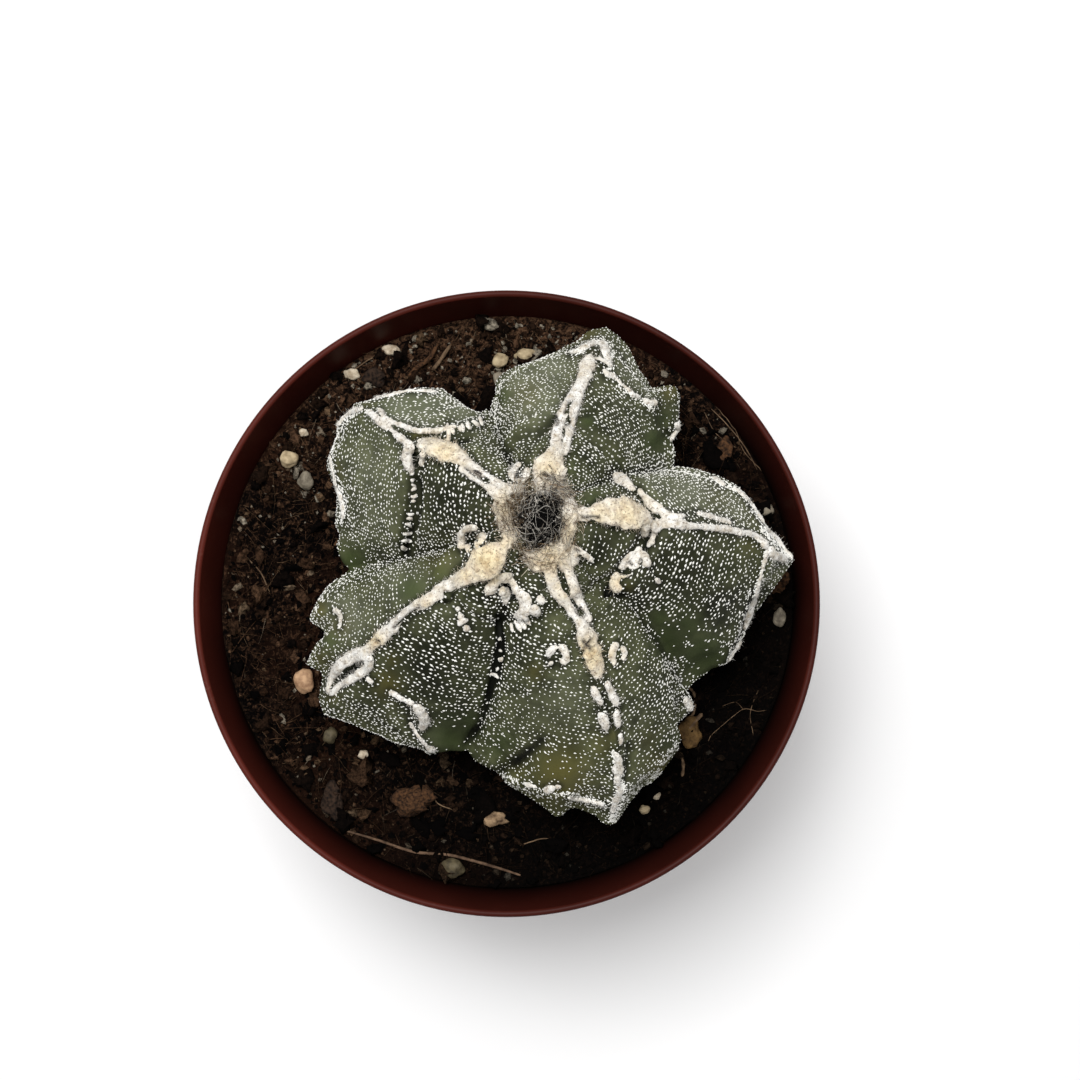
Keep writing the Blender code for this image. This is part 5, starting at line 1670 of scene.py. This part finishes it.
def beside_wool(pixels, marks):
    """1 under the wool, fading out a little way beyond its edge."""
    near = np.zeros(len(pixels))
    for mark in marks:
        for start, end in zip(mark[:-1], mark[1:]):
            gap = distance_to(pixels, (start[:2], end[:2])) - 0.5 * (start[2] + end[2])
            near = np.maximum(near, np.exp(-((np.maximum(gap, 0) / SHADE_REACH) ** 2)))
    return near


all_marks = list(FELT.values()) + line_marks + stitch_marks
skin_shade = beside_wool(pixel_of(points_of(plant.data) / MM), all_marks)
paint(plant.data, "wool_shade", WOOL_SHADE * skin_shade)
print("mean shade beside the wool", skin_shade.mean().round(3))

# %% [markdown]
# ### Crusts
#
# Along the waved edge, and wherever two tubercles have rubbed, the flecks crowd together into a
# white crust. It is made of rough little lumps, strewn close together along each edge. A lump is
# cast onto the skin like everything else, and it has 20 faces, since there are many of them.

# %% Where the crusts lie
CRUST_SIZE = 1.25
CRUST_DENSITY = 1.7
# (radius in mm of the largest lump and lumps for each pixel of the way, both before they are
# multiplied by the two values above, then points and half widths)
CRUSTS = {
    "north shoulder": (0.26, 0.8, ((603, 368, 3), (620, 386, 4), (634, 397, 5), (650, 404, 5))),
    "north shoulder foot": (0.26, 1.2, ((642, 400, 4), (655, 409, 3))),
    "north fork": (0.3, 1.4, ((577, 354, 3), (590, 342, 4), (604, 340, 4), (611, 352, 4),
        (610, 370, 3))),
    "north left edge": (0.2, 0.8, ((495, 408, 2), (500, 384, 2), (520, 368, 2), (560, 350, 2))),
    "northwest edge": (0.28, 1.2, ((366, 409, 3), (352, 414, 3), (342, 424, 3), (335, 440, 2),
        (330, 455, 3), (333, 472, 4), (341, 490, 4), (345, 507, 3), (339, 523, 3))),
    "northwest top edge": (0.18, 0.7, ((372, 399, 1.5), (390, 393, 1.5), (420, 391, 1.5),
        (445, 394, 2))),
    "east far edge": (0.3, 1.3, ((712, 477, 2), (724, 485, 3), (738, 489, 3), (752, 505, 3),
        (762, 516, 3))),
    "east tip": (0.36, 2.0, ((763, 530, 4), (775, 540, 6), (785, 550, 5), (790, 558, 4), (778, 558, 5),
        (767, 551, 4))),
    "east outer edge": (0.28, 1.0, ((766, 552, 3), (762, 572, 2), (756, 589, 4), (748, 610, 6),
        (745, 627, 6), (744, 640, 4), (736, 652, 3), (727, 664, 3))),
    "southwest rim": (0.17, 0.6, ((320, 711, 2), (344, 724, 2), (368, 735, 2), (391, 743, 2),
        (428, 752, 3))),
    "southwest outer": (0.18, 0.5, ((318, 605, 3), (312, 620, 3), (322, 627, 2))),
    "southwest low corner": (0.18, 0.5, ((316, 648, 2), (308, 662, 3), (318, 667, 2))),
    "south edge": (0.2, 0.9, ((500, 774, 1.5), (514, 780, 2), (528, 786, 3), (544, 793, 4),
        (558, 793, 4))),
    "south band": (0.28, 1.3, ((562, 792, 4), (585, 799, 5), (608, 807, 5))),
    "south tip": (0.34, 2.6, ((612, 822, 4), (616, 806, 6), (621, 792, 6), (626, 784, 4))),
    "south crest": (0.3, 2.0, ((613, 752, 2), (618, 765, 4), (619, 782, 6))),
    "south right rim": (0.24, 1.0, ((676, 743, 2), (665, 760, 3), (654, 778, 3), (632, 794, 4))),
    "southeast nub": (0.26, 1.2, ((684, 697, 3), (689, 705, 3), (690, 712, 2))),
}
print(len(CRUSTS), "crusts")

# %% Strew the crusts
def crust_lumps():
    """Places, directions and sizes in mm of the lumps, close together along each crust."""
    places, normals, sizes = [], [], []
    for largest, density, path in CRUSTS.values():
        path = np.array(path, float)
        way = way_along(path[:, :2])
        for stop in draw.uniform(0, way[-1], round(CRUST_DENSITY * density * way[-1])):
            x, y, width = [np.interp(stop, way, path[:, i]) for i in range(3)]
            place, normal = seen((x, y) + draw.normal(0, 0.55 * width, 2))
            places.append(place)
            normals.append(normal)
            sizes.append(CRUST_SIZE * largest * draw.uniform(0.35, 1.0, 3) * (1, 1, 0.7))
    return np.array(places), np.array(normals), np.array(sizes)


crust_places, crust_normals, crust_sizes = crust_lumps()
crust_turns = frames_along(crust_normals, random_headings(draw, len(crust_places)))
crust_mesh = strewn("edge_crusts", rough_crumb(1, 0.7), crust_places, crust_turns, crust_sizes)
add_piece("edge_crusts", crust_mesh, fleck_wool)
print(len(crust_places), "lumps of crust")

# %% [markdown]
# ### Loose hairs
#
# Felt has no hard edge: fine hairs stand out of it all over. They grow here from random faces
# of the felt and the lines, chosen by area, and lean at random.

# %% Grow fuzz out of the felt and the lines
def fuzz(name, mesh, count, shortest, longest, radius):
    """Fine hairs on a mesh of wool, with lengths and a mean radius in mm."""
    mesh.calc_loop_triangles()
    corners = np.empty(3 * len(mesh.loop_triangles), np.int32)
    mesh.loop_triangles.foreach_get("vertices", corners)
    triangles = points_of(mesh)[corners.reshape(-1, 3)] / MM
    normals = np.cross(triangles[:, 1] - triangles[:, 0], triangles[:, 2] - triangles[:, 0])
    areas = np.linalg.norm(normals, axis=1)
    chosen = draw.choice(len(areas), count, p=areas / areas.sum())
    roots = triangles[chosen].mean(axis=1)
    leaning = unit(normals[chosen] / areas[chosen, None] + 0.9 * random_headings(draw, count))
    lengths = draw.uniform(shortest, longest, count)
    hairs = bent_hairs(name, 1, roots - 0.1 * leaning, frames_along(leaning, random_headings(draw, count)),
                       lengths, draw.uniform(0.7, 1.3, count) * radius, lengths * draw.uniform(0, 0.6, count),
                       lengths * draw.uniform(-0.12, 0.12, count))
    paint(hairs, "cream", np.repeat(patches(pixel_of(roots), CREAM_PADS), len(hairs.vertices) // count))
    return add_piece(name, hairs, felt_wool)


fuzz("felt_fuzz", felt_mesh, 6500, shortest=0.5, longest=1.3, radius=0.038)
fuzz("line_fuzz", line_mesh, 2600, shortest=0.35, longest=0.9, radius=0.035)

# %% [markdown]
# ## The growing tip
#
# The tip is hidden by a tangle of dry hairs, charcoal in the middle and paler outwards. A rough
# dark cushion fills the hollow. Some 1600 hairs lie across it and over the felt round it, each
# bent and curled by its own amount, like a snarl of thread. Two looser tangles lie behind the
# tip and left of it.

# %% The place and finish of the tip
TIP_RADIUS = 3.5
TIP_STRETCH = 1.22  # the tip is longer from back to front
TIP_CUSHION = 2.0
TIP_SHIFT = (-0.3, -0.6, 0.4)  # mm from the middle of the solid's box in plan, and over the skin
GREY_TANGLE = ((562, 487, 14, 1.0),)  # (pixel across, pixel down, reach, strength)
tip_box = [1000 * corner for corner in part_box("apex_tuft")]
tip_middle = [0.5 * (low + high) for low, high in zip(*tip_box)]
tip_centre = np.array((*tip_middle[:2], seen(TIP_PIXEL)[0][2])) + TIP_SHIFT
tuft_hair = new_finish("tip_hair", 0.8, Specular_IOR_Level=0.12)
dress(tuft_hair, ramp(tuft_hair, painted(tuft_hair, "shade"), (0.0, screen(3, 3, 3)),
                      (0.4, screen(18, 15, 13)), (0.7, screen(118, 110, 100)),
                      (1.0, screen(236, 230, 218))))
veil_hair = new_finish("veil_hair", 0.8, Specular_IOR_Level=0.2)
dress(veil_hair, ramp(veil_hair, painted(veil_hair, "shade"), (0.0, screen(36, 24, 16)),
                      (0.5, screen(150, 124, 92)), (1.0, screen(244, 234, 212))))
print("tip centre", tip_centre.round(2))

# %% The cushion under the hairs
def tip_cushion():
    """A rough dark ball, flattened, for the hairs to lie on."""
    bm = bmesh.new()
    bmesh.ops.create_uvsphere(bm, u_segments=48, v_segments=24, radius=1.0)
    for vert in bm.verts:
        rough = 1.0 + 0.25 * noise.noise(vert.co * 3.0) + 0.12 * noise.noise(vert.co * 9.0)
        across, along_tip = vert.co.x * TIP_RADIUS, vert.co.y * TIP_RADIUS * TIP_STRETCH
        vert.co = Vector((across, along_tip, vert.co.z * TIP_CUSHION)) * rough
        vert.co = (vert.co + Vector(tip_centre)) * MM
    return mesh_from(bm, "tip_cushion")


def tree_of(mesh):
    bm = bmesh.new()
    bm.from_mesh(mesh)
    tree = BVHTree.FromBMesh(bm)
    bm.free()
    return tree


cushion_mesh = tip_cushion()
tip_trees = (skin_tree, tree_of(felt_mesh), tree_of(cushion_mesh))
paint(cushion_mesh, "shade", np.full(len(cushion_mesh.vertices), 0.03))
add_piece("tip_cushion", cushion_mesh, tuft_hair)

# %% A snarl of hairs
def top_at(x, y):
    """The height in mm of the plant's top at a place."""
    heights = [height_at(tree, x, y) for tree in tip_trees]
    return max(height for height in heights if height is not None)


def snarl(name, count, ring, lengths, thickness, spread, bend, shades, shift):
    """Hairs that lie across the tip within a ring, winding round it like a nest."""
    reach = np.sqrt(draw.uniform(ring[0] ** 2, ring[1] ** 2, count))
    bearing = draw.uniform(0, math.tau, count)
    places = np.column_stack((reach * np.cos(bearing), reach * TIP_STRETCH * np.sin(bearing)))
    places += tip_centre[:2] + np.array(shift)
    tops = np.array([top_at(*place) for place in places])
    middles = np.column_stack((places, tops + draw.uniform(-0.1, 0.7, count)))
    heading = bearing + math.pi / 2 + draw.normal(0, spread, count)
    headings = unit(np.column_stack((np.cos(heading), np.sin(heading), draw.uniform(-0.2, 0.2, count))))
    long = draw.uniform(*lengths, count)
    roots = middles - 0.5 * long[:, None] * headings
    mesh = bent_hairs(name, 5, roots, frames_along(headings, random_headings(draw, count)), long,
                      draw.uniform(*thickness, count), draw.uniform(-bend, bend, count) * long,
                      0.4 * draw.uniform(-bend, bend, count) * long)
    pale = np.where(draw.uniform(size=count) < shades[0], draw.uniform(0.65, 1.0, count),
                    draw.uniform(0.0, shades[1], count))
    pale = np.maximum(pale, 0.8 * patches(pixel_of(middles), GREY_TANGLE) * draw.uniform(0.6, 1.1, count))
    paint(mesh, "shade", np.repeat(np.clip(pale, 0, 1), len(mesh.vertices) // count))
    return mesh


print("the top of the tip is at", round(top_at(*tip_centre[:2]), 1), "mm")

# %% Tangle the hairs of the tip
# (hairs, ring from and to, lengths, thicknesses, spread of their headings, bend, share of pale
# hairs and the palest of the others, shift from the tip's centre, finish, slot)
SNARLS = {
    "tip_hairs": (460, (0.0, 3.9), (2.5, 6.0), (0.04, 0.08), 0.55, 0.3, (0.06, 0.3), (0, 0),
                  tuft_hair, "dark_hair"),
    "tip_strands": (130, (0.6, 4.3), (3.0, 6.5), (0.045, 0.085), 0.4, 0.4, (1.0, 0.0), (0, 0),
                    tuft_hair, "dark_hair"),
    "tip_veil": (640, (3.2, 6.8), (2.0, 5.0), (0.03, 0.06), 0.65, 0.35, (0.48, 0.5), (0, 0),
                 veil_hair, "cream_wool"),
    "tip_back_tangle": (170, (0.0, 2.5), (2.0, 4.6), (0.035, 0.06), 1.6, 0.4, (0.5, 0.6), (2.6, 4.9),
                        tuft_hair, "dark_hair"),
    "tip_left_tangle": (190, (0.0, 3.0), (2.0, 5.0), (0.03, 0.055), 1.2, 0.4, (0.2, 0.45), (-4.6, 1.4),
                        veil_hair, "dark_hair"),
}
for name, (*form, finish, slot) in SNARLS.items():
    stands_for = ["apex_tuft"] if name == "tip_hairs" else ()
    add_piece(name, snarl(name, *form), finish, stands_for)

# %% [markdown]
# ## Floor, light and camera
#
# The stage is a plain pale floor under soft light. The key is a lamp behind the plant, at the
# upper left of the photograph. A larger one from above softens its shadow, and a weak one at the
# lower right keeps the shaded flanks readable. The camera is at the eye of the photograph. A
# standard view transform keeps the floor white.

# %% The floor
def floor_plane():
    bm = bmesh.new()
    bmesh.ops.create_grid(bm, x_segments=1, y_segments=1, size=3.0)
    return mesh_from(bm, "floor")


floor = new_object("floor", floor_plane())
floor.data.materials.append(new_finish("pale_floor", 0.9, Base_Color=neutral(0.8), Emission_Color=neutral(1),
                                       Emission_Strength=0.2))
print("floor", [round(side, 1) for side in floor.dimensions], "m")

# %% Lamps and world
def add_lamp(name, place, watts, size):
    lamp = bpy.data.lights.new(name, "AREA")
    lamp.energy = watts
    lamp.size = size
    made = new_object(name, lamp)
    made.location = place
    made.rotation_euler = (-Vector(place)).to_track_quat("-Z", "Y").to_euler()


add_lamp("key_lamp", (-0.17, 0.33, 1.18), watts=12.0, size=0.4)
add_lamp("top_lamp", (0.02, 0.08, 1.3), watts=3.6, size=0.8)
add_lamp("fill_lamp", (0.8, -0.6, 0.9), watts=1.2, size=0.8)
world = bpy.data.worlds.new("studio")
world.use_nodes = True
world.node_tree.nodes["Background"].inputs["Color"].default_value = neutral(1)
world.node_tree.nodes["Background"].inputs["Strength"].default_value = 0.14
bpy.context.scene.world = world
bpy.context.scene.view_settings.view_transform = "Standard"
print(len(bpy.data.lights), "lamps")

# %% The camera at the photograph's eye
SENSOR = 36.0
camera = bpy.data.cameras.new("camera")
camera.sensor_width = SENSOR
camera.lens = SENSOR * (EYE[2] - RIM_TOP) / FRAME_SPAN
camera.clip_start = 0.01
eye = new_object("camera", camera)
eye.location = Vector(EYE) * MM
bpy.context.scene.camera = eye
print("lens", round(camera.lens, 1), "mm")
